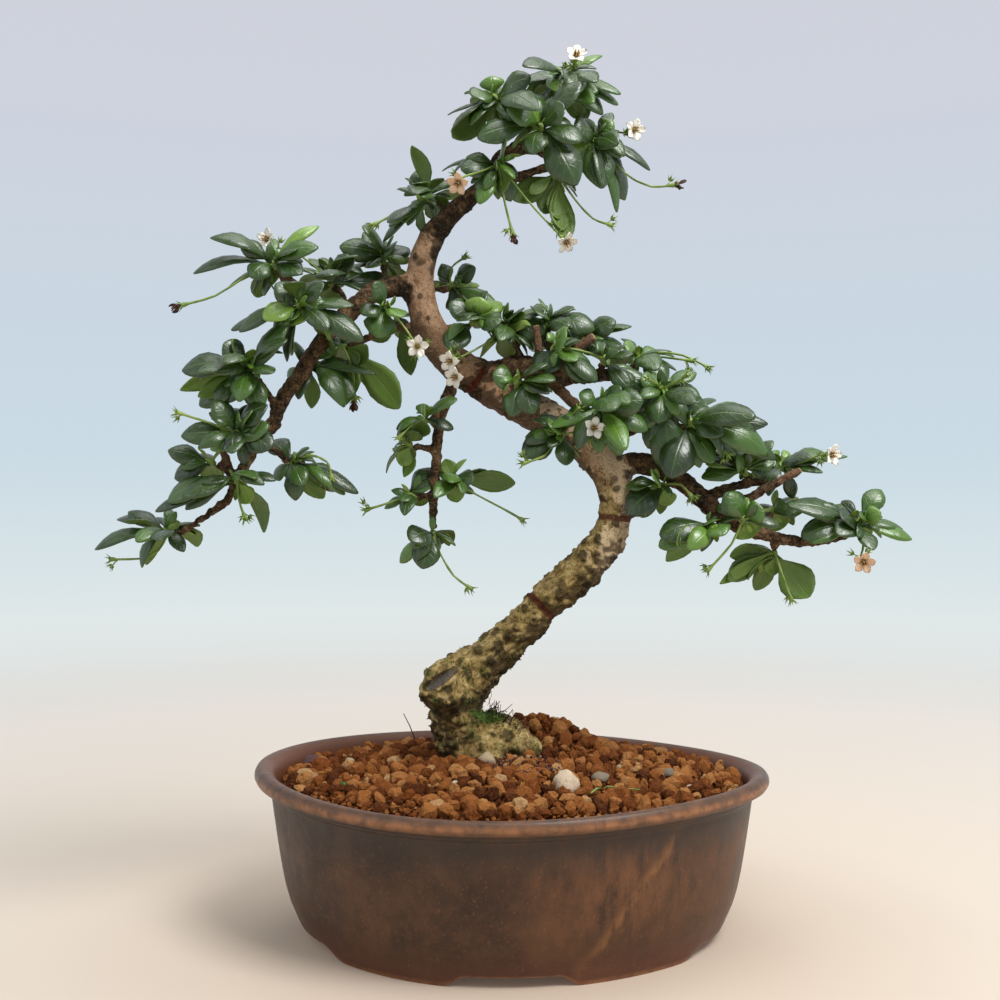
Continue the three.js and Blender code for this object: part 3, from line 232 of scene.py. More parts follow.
def place_piece(made, slot, *replaced):
    """Makes a finished piece ride on the root body and hides the CAD nodes it stands for. slot is not used.
    """
    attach(made, "root")
    if replaced:
        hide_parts(*replaced)
    made.data.calc_loop_triangles()
    print(made.name, "triangles:", len(made.data.loop_triangles))
    return made


def joined(parts):
    """Joins lists of points and faces into one list of each."""
    points, faces = [], []
    for more_points, more_faces in parts:
        faces += [tuple(len(points) + k for k in face) for face in more_faces]
        points += more_points
    return points, faces


def ring_faces(rings, sides):
    """The faces between rings of points, each with the same number of sides."""
    faces = []
    for a in range(0, (rings - 1) * sides, sides):
        for i in range(sides):
            j = (i + 1) % sides
            faces.append((a + i, a + j, a + sides + j, a + sides + i))
    return faces


def sheet_faces(rows, cols):
    """The faces of a thin leaf or petal: the upper grid of points, the lower one and the edge between."""
    faces = []
    below = rows * cols
    for r in range(rows - 1):
        for q in range(cols - 1):
            a = r * cols + q
            faces.append((a, a + 1, a + cols + 1, a + cols))
            faces.append((below + a + cols, below + a + cols + 1, below + a + 1, below + a))
    rim = [r * cols for r in range(rows)] + [(rows - 1) * cols + q for q in range(1, cols)]
    rim += [r * cols + cols - 1 for r in range(rows - 2, -1, -1)] + list(range(cols - 2, 0, -1))
    faces += [(a, b, below + b, below + a) for a, b in zip(rim, rim[1:] + rim[:1])]
    return faces


# CAD corners closer than this are one corner.
SAME_CORNER = 2e-6


def cad_shape(node):
    """A CAD node's mesh to read or change, with its loose triangles joined."""
    shape = bmesh.new()
    shape.from_mesh(nodes[node].data)
    bmesh.ops.remove_doubles(shape, verts=shape.verts, dist=SAME_CORNER)
    return shape


# %% Number tools
def smooth_step(low, high, value):
    """0 below low, 1 above high and a soft change between. It takes numbers and arrays."""
    share = np.clip((value - low) / (high - low), 0, 1)
    return share * share * (3 - 2 * share)


def any_way(chance):
    """A vector whose three numbers are drawn from -1 to 1."""
    return Vector([chance.uniform(-1, 1) for _ in range(3)])


# %% [markdown]
# ## The pot
# The pot is press-moulded stoneware: an oval with slightly flattened corners, a rolled rim and a foot
# band cut into four low feet. It could be lathed, but it isn't round, so rings of points follow the same
# outline rule as the CAD solid, with many more points. A smooth curve through the profile gives the
# soft glazed edges.

# %% Pot outline
POT_HALF_LENGTH, POT_HALF_DEPTH = 105 * MM, 84 * MM
POT_HEIGHT, FLOOR_TOP, FOOT_HEIGHT = 65.5, 9.0, 4.0
LOBE, LOBE_TURN = 0.016, 0.5
# How far the rim rises and dips round the oval, in mm: cosine and sine once round, then twice round.
WARP = (-1.0, 1.1, 1.0, -1.1)
# The wall from the underside out and up, over the rim and down inside: share of the outline, height in mm.
PROFILE = [
    (0.45, 4),
    (0.70, 4),
    (0.728, 3.9),
    (0.742, 0.4),
    (0.748, 0),
    (0.816, 0),
    (0.82, 0.4),
    (0.8325, 6.4),
    (0.836, 7.6),
    (0.862, 14),
    (0.879, 20),
    (0.893, 27),
    (0.909, 37),
    (0.922, 46),
    (0.9315, 53),
    (0.937, 56.2),
    (0.953, 57.4),
    (0.957, 58.6),
    (0.972, 58.9),
    (0.988, 59.8),
    (0.9985, 61.6),
    (0.998, 63.2),
    (0.988, 64.9),
    (0.968, 65.5),
    (0.945, 64.9),
    (0.926, 63.2),
    (0.914, 60),
    (0.897, 48),
    (0.878, 36),
    (0.845, 20),
    (0.78, 11),
    (0.70, 9),
    (0.45, 9),
]


# The arches between the feet, in mm: half the width, its swept ends and how far out the arch lies.
FRONT_ARCH = (25, 8, 40)
SIDE_ARCH = (44, 11, 50)
FOOT_BAND_TOP, FOOT_BAND_INSIDE = 7, 0.78


def foot_notch(x, y):
    """How high the foot band is cut away: an arch with swept ends on each of the four sides."""
    open_share = 0
    for (half, sweep, far), along, out in ((FRONT_ARCH, x, y), (SIDE_ARCH, y, x)):
        if abs(out) > far:
            open_share = max(open_share, (half - abs(along)) / sweep)
    return FOOT_HEIGHT * float(smooth_step(0, 1, open_share))


def pot_point(angle, scale, z):
    """A point of the pot: its place round the oval, its share of the outline and its height in mm."""
    round_off = (1 + LOBE * math.cos(4 * angle + LOBE_TURN)) / (1 + LOBE)
    wave = WARP[0] * math.cos(angle) + WARP[1] * math.sin(angle)
    wave += WARP[2] * math.cos(2 * angle) + WARP[3] * math.sin(2 * angle)
    lift = max(0.0, (z - FLOOR_TOP) / (POT_HEIGHT - FLOOR_TOP))
    x = POT_HALF_LENGTH * scale * round_off * math.cos(angle)
    y = POT_HALF_DEPTH * scale * round_off * math.sin(angle)
    if z < FOOT_BAND_TOP:
        notch = foot_notch(x / MM, y / MM)
        top = FOOT_BAND_TOP if scale > FOOT_BAND_INSIDE else FOOT_HEIGHT
        z = notch + z * (top - notch) / top if z < top else z
    return Vector((x, y, (z + wave * lift**2) * MM))


CURVE_PULL = 0.35


def smooth_profile(points, steps):
    """A curve through the points, a few steps to each, that doesn't overshoot sharp turns."""
    out = []
    for i in range(len(points) - 1):
        a = Vector(points[max(0, i - 1)])
        b, c = Vector(points[i]), Vector(points[i + 1])
        d = Vector(points[min(len(points) - 1, i + 2)])
        span = (c - b).length
        slope_b, slope_c = (c - a) * CURVE_PULL, (d - b) * CURVE_PULL
        slope_b = slope_b.normalized() * min(slope_b.length, span)
        slope_c = slope_c.normalized() * min(slope_c.length, span)
        for k in range(steps):
            t = k / steps
            out.append(
                b * (2 * t**3 - 3 * t**2 + 1)
                + slope_b * (t**3 - 2 * t**2 + t)
                + c * (-2 * t**3 + 3 * t**2)
                + slope_c * (t**3 - t**2)
            )
    return out + [Vector(points[-1])]


# %% [markdown]
# ## The glaze
# A dark satin iron glaze, dipped and fired. Iron glazes break to rust where they run thin, on the rim
# and the foot and in soft clouds, and stay near black where they pool. Paint marks could be textures,
# but the glaze follows the pot's own form, so the mesh carries values that say how worn each point is,
# how far inside the mouth it lies, and where the rust cloud and its one slanting run are.

# %% Where the glaze changes
# Each cloud: its middle across and up the pot, half its width and height in mm, and its strength.
RUST_CLOUDS = [
    ((42, 36), (34, 22), 0.8),
    ((2, 57), (9, 5), 0.7),
    ((-52, 22), (26, 14), 0.3),
    ((84, 40), (16, 26), 0.5),
]
RUN_TOP, RUN_FOOT = (59, 52), (30, 13)
BACK_SHIFT = 20


def front_place(point):
    """A point's place across and up the pot in mm. The back is the front turned round and shifted."""
    across = BACK_SHIFT - point.x / MM if point.y > 0 else point.x / MM
    return across, point.z / MM


def rust_at(point):
    """How rusty the glaze is, from 0 to 1."""
    x, z = front_place(point)
    return max(
        share * math.exp(-(((x - cx) / wide) ** 2) - ((z - cz) / tall) ** 2)
        for (cx, cz), (wide, tall), share in RUST_CLOUDS
    )


def off_run(point):
    """How far a point lies beside the line that the rusty run follows, in mm."""
    x, z = front_place(point)
    ahead = Vector(RUN_FOOT) - Vector(RUN_TOP)
    return (Vector((x, z)) - Vector(RUN_TOP)).cross(ahead.normalized())


# %% Pot mesh
# The curve is worked out in millimetres, so that a step up and a step out weigh the same.
SECTORS, STEPS = 288, 3
RIM_WEAR, CREST_WEAR, CREST_SHARE, MOUTH_RINGS = 3.2, 3, 0.3, 5
FOOT_WEAR = 1.6
curve = smooth_profile([(s * 100, z) for s, z in PROFILE], STEPS)
crest = max(range(len(curve)), key=lambda i: curve[i].y)
brink = max(range(len(curve)), key=lambda i: curve[i].x)
points, worn, inside = [], [], []
for ring, (s, z) in enumerate(curve):
    points += [pot_point(2 * math.pi * i / SECTORS, s / 100, z) for i in range(SECTORS)]
    on_rim = math.exp(-(((ring - brink) / RIM_WEAR) ** 2))
    on_rim += CREST_SHARE * math.exp(-(((ring - crest) / CREST_WEAR) ** 2))
    on_foot = max(0, 1 - z / FOOT_WEAR) if ring < crest else 0
    worn += [min(1, max(on_rim, on_foot))] * SECTORS
    inside += [float(smooth_step(0, MOUTH_RINGS, ring - crest))] * SECTORS
faces = ring_faces(len(curve), SECTORS)
for ring, flip in ((0, True), (len(curve) - 1, False)):
    centre = len(points)
    points.append(Vector((0, 0, curve[ring][1] * MM)))
    worn.append(0)
    inside.append(float(not flip))
    start = ring * SECTORS
    for i in range(SECTORS):
        j = (i + 1) % SECTORS
        faces.append((start + j, start + i, centre) if flip else (start + i, start + j, centre))
print("pot rings:", len(curve), "rim ring:", crest)

# %% Glaze material
# Fired glaze is glass, so its IOR is 1.52. A satin glaze is finely crystalled: its gloss is broad. The
# mottle is 2 to 30 mm across and the orange peel about 2 mm.
glaze, tree, shader = new_material("iron_glaze")
place = add(tree, COORDS).outputs["Object"]
drawn_down = add(tree, VECTOR, {0: place, 1: (1.0, 1.0, 0.35)}, operation="MULTIPLY")
height_of = add(tree, "ShaderNodeSeparateXYZ", {"Vector": place}).outputs["Z"]
pot_value = {
    name: add(tree, ATTRIBUTE, attribute_name=name).outputs["Fac"]
    for name in ("rust", "worn", "inside", "off_run")
}
cloud = add(tree, NOISE, {"Vector": place, "Scale": 1 / (26 * MM), "Detail": 5.0, "Roughness": 0.6})
mottle = add(tree, NOISE, {"Vector": place, "Scale": 1 / (5 * MM), "Detail": 5.0, "Roughness": 0.65})
fleck = add(tree, NOISE, {"Vector": place, "Scale": 1 / (1.1 * MM), "Detail": 2.0})
peel = add(tree, NOISE, {"Vector": place, "Scale": 1 / (2.2 * MM), "Detail": 3.0})
streak = add(tree, NOISE, {"Vector": drawn_down, "Scale": 1 / (7 * MM), "Detail": 6.0, "Roughness": 0.7})
body_stops = [(0.3, "#2b1c13"), (0.45, "#3b271a"), (0.58, "#4d3321"), (0.75, "#624128")]
clouded = add(tree, RAMP, {"Fac": cloud}, stops=body_stops)
mottle_share = add(tree, RAMP, {"Fac": mottle}, stops=[(0.48, 0.0), (0.72, 0.36)])
rust_break = add(tree, RAMP, {"Fac": streak}, stops=[(0.38, 0.12), (0.62, 1.0)])
rust_share = add(tree, MATH, {0: pot_value["rust"], 1: rust_break}, operation="MULTIPLY")
stray = add(tree, RANGE, {"Value": streak, "To Min": -5.0, "To Max": 5.0})
wavering = add(tree, MATH, {0: pot_value["off_run"], 1: stray}, operation="ADD")
beside = add(tree, MATH, {0: wavering}, operation="ABSOLUTE")
run_width = {"Value": beside, "From Min": 0.2, "From Max": 2.2, "To Min": 0.6, "To Max": 0.0}
on_run = add(tree, RANGE, run_width)
run_share = add(tree, MATH, {0: on_run, 1: rust_break}, operation="MULTIPLY")
fleck_share = add(tree, RAMP, {"Fac": fleck}, stops=[(0.62, 0.0), (0.72, 0.4)])
# Painted sheen: a grey band below the rim stands for the broad reflection that the satin glaze shows there.
below_rim = {"Value": height_of, "From Min": 40 * MM, "From Max": 54 * MM, "To Max": 0.9}
painted_sheen_share = add(tree, RANGE, below_rim)
painted_sheen_break = add(tree, RAMP, {"Fac": streak}, stops=[(0.38, 1.0), (0.68, 0.4)])
painted_sheen_band = add(tree, MATH, {0: painted_sheen_share, 1: painted_sheen_break}, operation="MULTIPLY")
low_down = {"Value": height_of, "From Min": 4 * MM, "From Max": 15 * MM, "To Min": 0.6, "To Max": 0.0}
red_share = add(tree, RANGE, low_down)
wear_break = add(tree, RAMP, {"Fac": mottle}, stops=[(0.36, 0.28), (0.62, 0.9)])
wear_share = add(tree, MATH, {0: pot_value["worn"], 1: wear_break}, operation="MULTIPLY")
GLAZE_COATS = [
    (mottle_share, "#68462e"),
    (rust_share, "#7f5233"),
    (run_share, "#9c6a3c"),
    (fleck_share, "#8a5a34"),
    # The grey band below the rim is painted sheen.
    (painted_sheen_band, "#3d332c"),
    (pot_value["inside"], "#68402a"),
    (red_share, "#653c2b"),
    (wear_share, "#a8714a"),
]
coat = clouded
for share, colour in GLAZE_COATS:
    coat = add(tree, BLEND, {"Factor": share, "A": coat, "B": colour}, data_type="RGBA")
gloss = add(tree, RAMP, {"Fac": streak}, stops=[(0.3, 0.34), (0.7, 0.52)])
relief = add(tree, BUMP, {"Height": peel, "Strength": 0.22, "Distance": 0.25 * MM})
finish_material(tree, shader, Base_Color=coat, Roughness=gloss, Normal=relief)
finish_material(tree, shader, IOR=1.52, Specular_IOR_Level=0.35)

# %% Finish the pot
pot = mesh_object("glazed_pot", points, faces, glaze)
store(pot, worn=worn, inside=inside)
store(pot, rust=[rust_at(p) for p in points], off_run=[off_run(p) for p in points])
DRAIN_RADIUS, DRAIN_PLACE, DRILL_HEIGHT, DRILL_LENGTH = (size * MM for size in (7, 44, 6, 20))
drills = []
for side in (-1, 1):
    drill_place = (side * DRAIN_PLACE, 0, DRILL_HEIGHT)
    drill_sizes = {"radius": DRAIN_RADIUS, "depth": DRILL_LENGTH, "location": drill_place}
    bpy.ops.mesh.primitive_cylinder_add(vertices=40, **drill_sizes)
    drills.append(bpy.context.object)
    cut = pot.modifiers.new("drain_hole", "BOOLEAN")
    cut.object = drills[-1]
    cut.operation = "DIFFERENCE"
baked(pot)
for drill in drills:
    bpy.data.objects.remove(drill)
place_piece(pot, "glaze", "pot")

# %% [markdown]
# ## Clay grains
# Bonsai soil here is baked clay: orange-brown crumbs from 1 to 8 mm, with paler and darker ones among
# them, a few pumice stones and dark fines near the trunk. A bed closes the pot below, and Geometry
# Nodes strew the grains over it, because that is what they do well: many copies, each with its own
# turn, size and lumps.

# %% Grain materials
# Unglazed fired clay is dull and dusty. The scatter stores a tone on each grain, so that neighbours
# differ, and dust and fine pits vary it inside each. The pits are darkened as painted shade.
clay, tree, shader = new_material("baked_clay")
place = add(tree, COORDS).outputs["Object"]
tone = add(tree, ATTRIBUTE, attribute_name="tone").outputs["Fac"]
crumb = add(tree, NOISE, {"Vector": place, "Scale": 1 / (1.0 * MM), "Detail": 5.0, "Roughness": 0.75})
tone_stops = [(0.0, "#4f240b"), (0.3, "#8a4b1f"), (0.7, "#b47138"), (0.95, "#c88c52"), (1.0, "#d6ab78")]
grain_colour = add(tree, RAMP, {"Fac": tone}, stops=tone_stops)
dust_share = add(tree, RAMP, {"Fac": crumb}, stops=[(0.5, 0.0), (0.75, 0.5)])
dusty = add(tree, BLEND, {"Factor": dust_share, "A": grain_colour, "B": "#bb8350"}, data_type="RGBA")
# Painted shade: the low places of the crumb noise, which the bump sinks, are darkened as pits in shade.
pit_shade_share = add(tree, RAMP, {"Fac": crumb}, stops=[(0.3, 0.75), (0.46, 0.0)])
pit_shaded = add(tree, BLEND, {"Factor": pit_shade_share, "A": dusty, "B": "#451d0c"}, data_type="RGBA")
relief = add(tree, BUMP, {"Height": crumb, "Strength": 1.0, "Distance": 1.8 * MM})
finish_material(tree, shader, Base_Color=pit_shaded, Normal=relief, Roughness=0.95)
finish_material(tree, shader, Specular_IOR_Level=0.15)

# Pumice is a pale froth of stone glass, and the few river stones are grey and smoother.
stone, tree, shader = new_material("pumice_and_grit")
place = add(tree, COORDS).outputs["Object"]
tone = add(tree, ATTRIBUTE, attribute_name="tone").outputs["Fac"]
froth = add(tree, NOISE, {"Vector": place, "Scale": 1 / (0.9 * MM), "Detail": 4.0, "Roughness": 0.7})
stone_stops = [(0.0, "#66625c"), (0.5, "#a18b6a"), (1.0, "#d2bca2")]
stone_colour = add(tree, RAMP, {"Fac": tone}, stops=stone_stops)
hole_share = add(tree, RAMP, {"Fac": froth}, stops=[(0.34, 0.55), (0.46, 0.0)])
stone_worn = add(tree, BLEND, {"Factor": hole_share, "A": stone_colour, "B": "#8a6a4c"}, data_type="RGBA")
relief = add(tree, BUMP, {"Height": froth, "Strength": 0.7, "Distance": 0.5 * MM})
finish_material(tree, shader, Base_Color=stone_worn, Normal=relief, Roughness=0.9)

# %% Soil surface
# All in mm: half the soil's length and depth, its height at the edge and how much higher its middle is.
SOIL_HALF_LENGTH, SOIL_HALF_DEPTH = 95.55, 76.44
SOIL_EDGE, SOIL_CROWN = 61.0, 7.0
BANK = {"x": 11.0, "y": 30.0, "height": 13.5, "width": 24.0, "depth": 15.0}


def soil_height(x, y):
    """Height of the soil in mm at a place in mm: crowned, and banked up behind the trunk's root."""
    out = min(1.0, math.hypot(x / SOIL_HALF_LENGTH, y / SOIL_HALF_DEPTH))
    bank = math.exp(-(((x - BANK["x"]) / BANK["width"]) ** 2) - ((y - BANK["y"]) / BANK["depth"]) ** 2)
    return SOIL_EDGE + SOIL_CROWN * (1 - out**2) + BANK["height"] * bank


def soil_seen(across, down):
    """The point of the soil that is seen at a place in the picture."""
    line = sight(across, down)
    height = SOIL_EDGE + SOIL_CROWN
    for _ in range(6):
        point = EYE + line * ((height * MM - EYE.z) / line.z)
        height = soil_height(point.x / MM, point.y / MM)
    return point


# %% Soil bed
BED_SIDES, BED_RINGS, BED_BELOW = 96, 30, 1.2
BED_SHARE, BED_OFF_WALL, BED_ROUGH, BED_LUMPS = 0.902, 0.004, 0.6, 3
points = []
walls = [(0.40, 9.6), (0.695, 9.6), (0.775, 11.6), (0.84, 20), (0.873, 36), (0.892, 48)]
for s, z in walls:
    points += [pot_point(2 * math.pi * i / BED_SIDES, s - BED_OFF_WALL, z) for i in range(BED_SIDES)]
for r in range(BED_RINGS, 0, -1):
    for i in range(BED_SIDES):
        p = pot_point(2 * math.pi * i / BED_SIDES, BED_SHARE * r / BED_RINGS, 0.0)
        rough = BED_ROUGH * noise.noise(Vector((p.x, p.y, 0)) / (BED_LUMPS * MM))
        points.append(Vector((p.x, p.y, (soil_height(p.x / MM, p.y / MM) - BED_BELOW + rough) * MM)))
rings = len(walls) + BED_RINGS
faces = ring_faces(rings, BED_SIDES)
last = (rings - 1) * BED_SIDES
points += [Vector((0, 0, walls[0][1] * MM)), Vector((0, 0, (soil_height(0, 0) - BED_BELOW) * MM))]
low, high = len(points) - 2, len(points) - 1
for i in range(BED_SIDES):
    j = (i + 1) % BED_SIDES
    faces += [(j, i, low), (last + i, last + j, high)]
bed = mesh_object("soil_bed", points, faces, clay)
store(bed, tone=[0.1] * len(points))
place_piece(bed, "clay_grains", "soil")


# %% Grain scatter
def new_group(name, **inputs):
    """A Geometry Nodes tree with a geometry to work on, named inputs and one geometry out."""
    group = bpy.data.node_groups.new(name, "GeometryNodeTree")
    group.interface.new_socket("Surface", in_out="INPUT", socket_type="NodeSocketGeometry")
    for label, kind in inputs.items():
        group.interface.new_socket(label, in_out="INPUT", socket_type="NodeSocket" + kind)
    group.interface.new_socket("Result", in_out="OUTPUT", socket_type="NodeSocketGeometry")
    return group, add(group, "NodeGroupInput").outputs


def grow_by(made, group, **values):
    """Runs a tree on an object with its inputs set, and leaves the result as the object's mesh."""
    live = made.modifiers.new(group.name, "NODES")
    live.node_group = group
    for item in group.interface.items_tree:
        if item.in_out == "INPUT" and item.name in values:
            live[item.identifier] = values[item.name]
    return baked(made)


grain_inputs = {"Spacing": "Float", "Smallest": "Float", "Largest": "Float", "Lumps": "Float", "Faces": "Int"}
strewn, get = new_group("strewn_grains", **grain_inputs, Darkest="Float", Seed="Int", Material="Material")
seed = get["Seed"]
MOST_GRAINS = 400000.0
spread = add(strewn, "GeometryNodeDistributePointsOnFaces", distribute_method="POISSON")
for label, value in (("Mesh", get["Surface"]), ("Distance Min", get["Spacing"]), ("Seed", seed)):
    strewn.links.new(value, spread.inputs[label])
spread.inputs["Density Max"].default_value = MOST_GRAINS
size = add(strewn, CHANCE, {"Min": get["Smallest"], "Max": get["Largest"], "Seed": seed}, data_type="FLOAT")
turn = add(strewn, CHANCE, data_type="FLOAT_VECTOR")
squash = add(strewn, CHANCE, data_type="FLOAT_VECTOR")
FULL_TURN = (math.tau, math.tau, math.tau)
FLATTEST, LONGEST = (0.65, 0.65, 0.5), (1.35, 1.1, 1.0)
for made, low, high in ((turn, (0, 0, 0), FULL_TURN), (squash, FLATTEST, LONGEST)):
    made.inputs[0].default_value = low
    made.inputs[1].default_value = high
    strewn.links.new(seed, made.inputs["Seed"])
scale = add(strewn, VECTOR, {0: squash, "Scale": size}, operation="SCALE")
ball = add(strewn, "GeometryNodeMeshIcoSphere", {"Radius": 1.0, "Subdivisions": get["Faces"]})
copy_inputs = {"Points": spread, "Instance": ball, "Rotation": turn, "Scale": scale}
copies = add(strewn, "GeometryNodeInstanceOnPoints", copy_inputs)
shade = add(strewn, CHANCE, {"Min": get["Darkest"], "Max": 1.0, "Seed": 7}, data_type="FLOAT")
stored_inputs = {"Geometry": copies, "Name": "tone", "Value": shade}
stored = add(strewn, "GeometryNodeStoreNamedAttribute", stored_inputs, data_type="FLOAT", domain="INSTANCE")
real = add(strewn, "GeometryNodeRealizeInstances", {"Geometry": stored})
where = add(strewn, "GeometryNodeInputPosition")
lump_sizes = {"Scale": 1 / (2.1 * MM), "Detail": 3.0, "Roughness": 0.6}
lump = add(strewn, NOISE, {"Vector": where, **lump_sizes})
middle = add(strewn, VECTOR, {0: lump.outputs["Color"], 1: (0.5, 0.5, 0.5)}, operation="SUBTRACT")
push = add(strewn, VECTOR, {0: middle, "Scale": get["Lumps"]}, operation="SCALE")
lumpy = add(strewn, "GeometryNodeSetPosition", {"Geometry": real, "Offset": push})
broken = add(strewn, "GeometryNodeSetShadeSmooth", {"Geometry": lumpy, "Shade Smooth": False})
done = add(strewn, "GeometryNodeSetMaterial", {"Geometry": broken, "Material": get["Material"]})
add(strewn, "NodeGroupOutput", {0: done})
print("scatter nodes:", len(strewn.nodes))


# %% Strew the grains
def ground_patch(name, middle, share, lift):
    """A part of the soil's top that grains lie on, as an open grid that the scatter uses up.

    share is the part of the pot's outline that it fills, and middle moves it, in mm."""
    sides, rings = 72, 24
    points = [Vector(middle + (0,)) * MM]
    for r in range(1, rings + 1):
        for i in range(sides):
            points.append(points[0] + pot_point(math.tau * i / sides, share * r / rings, 0.0))
    points = [Vector((p.x, p.y, (soil_height(p.x / MM, p.y / MM) + lift) * MM)) for p in points]
    faces = [(0, 1 + i, 1 + (i + 1) % sides) for i in range(sides)]
    for a in range(1, 1 + (rings - 1) * sides, sides):
        b = a + sides
        faces += [(a + i, b + i, b + (i + 1) % sides, a + (i + 1) % sides) for i in range(sides)]
    return mesh_object(name, points, faces, clay, smooth=False)


# Each kind: the patch's middle, share and lift; spacing, smallest and largest radius and lumps in mm.
GRAIN_KINDS = {
    "coarse_grains": {"patch": ((0, 0), 0.865, 0.5), "sizes": (4.6, 1.6, 3.9, 3.8), "faces": 2, "seed": 3},
    "fine_grains": {"patch": ((0, 0), 0.885, -0.3), "sizes": (2.1, 0.7, 1.5, 1.7), "faces": 1, "seed": 11},
}
for name, kind in GRAIN_KINDS.items():
    grains = ground_patch(name, *kind["patch"])
    spacing, smallest, largest, lumps = (size * MM for size in kind["sizes"])
    sizes = {"Spacing": spacing, "Smallest": smallest, "Largest": largest, "Lumps": lumps}
    grow_by(grains, strewn, **sizes, Faces=kind["faces"], Darkest=0.0, Seed=kind["seed"], Material=clay)
    place_piece(grains, "clay_grains")

# %% [markdown]
# Dark fines have washed out round the front of the root, where water runs down the trunk. They are far
# smaller than the grains and purple-brown.

# %% Dark fines
fines, tree, shader = new_material("dark_fines")
tone = add(tree, ATTRIBUTE, attribute_name="tone").outputs["Fac"]
fine_stops = [(0.0, "#2b140f"), (0.6, "#55301f"), (0.9, "#7b5240"), (1.0, "#b79a8a")]
fine_colour = add(tree, RAMP, {"Fac": tone}, stops=fine_stops)
finish_material(tree, shader, Base_Color=fine_colour, Roughness=0.8)
washed = ground_patch("washed_fines", (5, -14), 0.17, 1.6)
fine_sizes = {"Spacing": 0.95 * MM, "Smallest": 0.35 * MM, "Largest": 0.75 * MM, "Lumps": 0.4 * MM}
grow_by(washed, strewn, **fine_sizes, Faces=1, Darkest=0.0, Seed=5, Material=fines)
place_piece(washed, "clay_grains")

# %% [markdown]
# A few stones stand out from the rest, so they are placed one by one: a lump of pumice in front, a
# river pebble at the root, and some grit. Each is a ball of points pushed in and out by noise.

# %% Stones
# Each stone: its place in the picture, radius in mm, paleness and height as a share of its width.
STONES = [
    ((566, 791), 4.7, 0.95, 1.05),
    ((487, 766), 3.8, 0.6, 0.8),
    ((600, 783), 3.3, 0.2, 0.7),
    ((668, 777), 2.8, 0.1, 0.7),
    ((455, 785), 1.3, 0.9, 0.8),
    ((403, 786), 1.4, 0.9, 0.8),
    ((350, 764), 2.0, 0.6, 0.7),
    ((690, 790), 1.5, 0.7, 0.8),
    ((620, 770), 1.6, 0.5, 0.8),
]


def lump_of_stone(middle, radius, seed, squash=0.8, detail=3):
    """A stone: points round a middle, pushed in and out."""
    shape = bmesh.new()
    bmesh.ops.create_icosphere(shape, subdivisions=detail, radius=1)
    shift = Vector((seed * 7.3, seed * 3.1, seed))
    points = []
    for v in shape.verts:
        push = 1 + 0.3 * noise.noise(v.co * 1.1 + shift) + 0.12 * noise.noise(v.co * 3.1 + shift)
        points.append(middle + Vector((v.co.x, v.co.y, v.co.z * squash)) * push * radius)
    faces = [tuple(v.index for v in f.verts) for f in shape.faces]
    shape.free()
    return points, faces


STONE_UP = 0.55
parts, tones = [], []
for i, (spot, radius, pale, squash) in enumerate(STONES):
    middle = soil_seen(*spot) + Vector((0, 0, radius * STONE_UP * MM))
    parts.append(lump_of_stone(middle, radius * MM, i + 1, squash))
    tones += [pale] * len(parts[-1][0])
stones = mesh_object("pumice_and_pebbles", *joined(parts), stone)
store(stones, tone=tones)
place_piece(stones, "clay_grains")

# %% [markdown]
# ## Bark and wood
# The CAD wood is a set of joined tubes with flat faces. A copy is remeshed finely and smoothed, so the
# joints melt into one another as grown wood does. Then each point is pushed in or out by rules that
# read how bark grows: warts on the old trunk, a healed saw cut, marks that training wire left, and
# rough knuckles where twigs were pruned. The same rules store values for the material to read.


# %% Remesh the wood
def merged_copy(node, name):
    """A copy of a CAD node's mesh with its loose triangles joined."""
    made = bpy.data.objects.new(name, nodes[node].data.copy())
    bpy.context.scene.collection.objects.link(made)
    shape = cad_shape(node)
    shape.to_mesh(made.data)
    shape.free()
    return made


# Fine enough for warts, and still under 200,000 triangles.
BARK_GRID = 0.75 * MM
wood = merged_copy("trunk_and_branches", "trunk_wood")
melt = wood.modifiers.new("melt", "REMESH")
melt.mode = "VOXEL"
melt.voxel_size = BARK_GRID
baked(wood)
wood_points = np.empty(len(wood.data.vertices) * 3)
wood.data.vertices.foreach_get("co", wood_points)
wood_points = wood_points.reshape(-1, 3) / MM
wood_edges = np.empty(len(wood.data.edges) * 2, dtype=np.int64)
wood.data.edges.foreach_get("vertices", wood_edges)
wood_edges = wood_edges.reshape(-1, 2)
print("wood points:", len(wood_points))

# %% Read the trunk's line
# The trunk's rows are right, up, back and radius in mm, as in the CAD. Right and up are read on the
# plane of the pot's middle, so a place further back lies further from the line to the camera.
TRUNK = [
    (-14, 50, 13, 14),
    (-15, 66, 13, 15),
    (-15, 76, 12, 15.4),
    (-19.5, 87, 11, 15.6),
    (-22, 97, 10, 14.6),
    (-14, 106, 9, 10.4),
    (-4, 114, 8, 8.6),
    (14, 132, 4, 7.9),
    (33, 150.5, 1, 8.1),
    (44, 167, 0, 7.4),
    (42, 183, 1, 7.8),
    (33, 195.6, 4, 8.1),
    (20, 206, 8, 7.8),
    (4, 214, 9, 8.4),
    (-13, 224.5, 8, 8.4),
    (-25, 232.6, 6, 7.8),
    (-33, 245, 4, 7.1),
    (-38, 261.5, 2, 6.7),
    (-35, 278, 1, 6.3),
    (-29, 288, 0, 5.3),
    (-20, 296.5, -1, 4.3),
    (-10.6, 304.5, -1, 3.7),
]


def real_place(right, up, back):
    """A place in mm from one read on the plane of the pot's middle, and its depth behind that plane."""
    eye = EYE / MM
    share = 1 - back / eye.y
    return np.array((eye.x + (right - eye.x) * share, back, eye.z + (up - eye.z) * share))


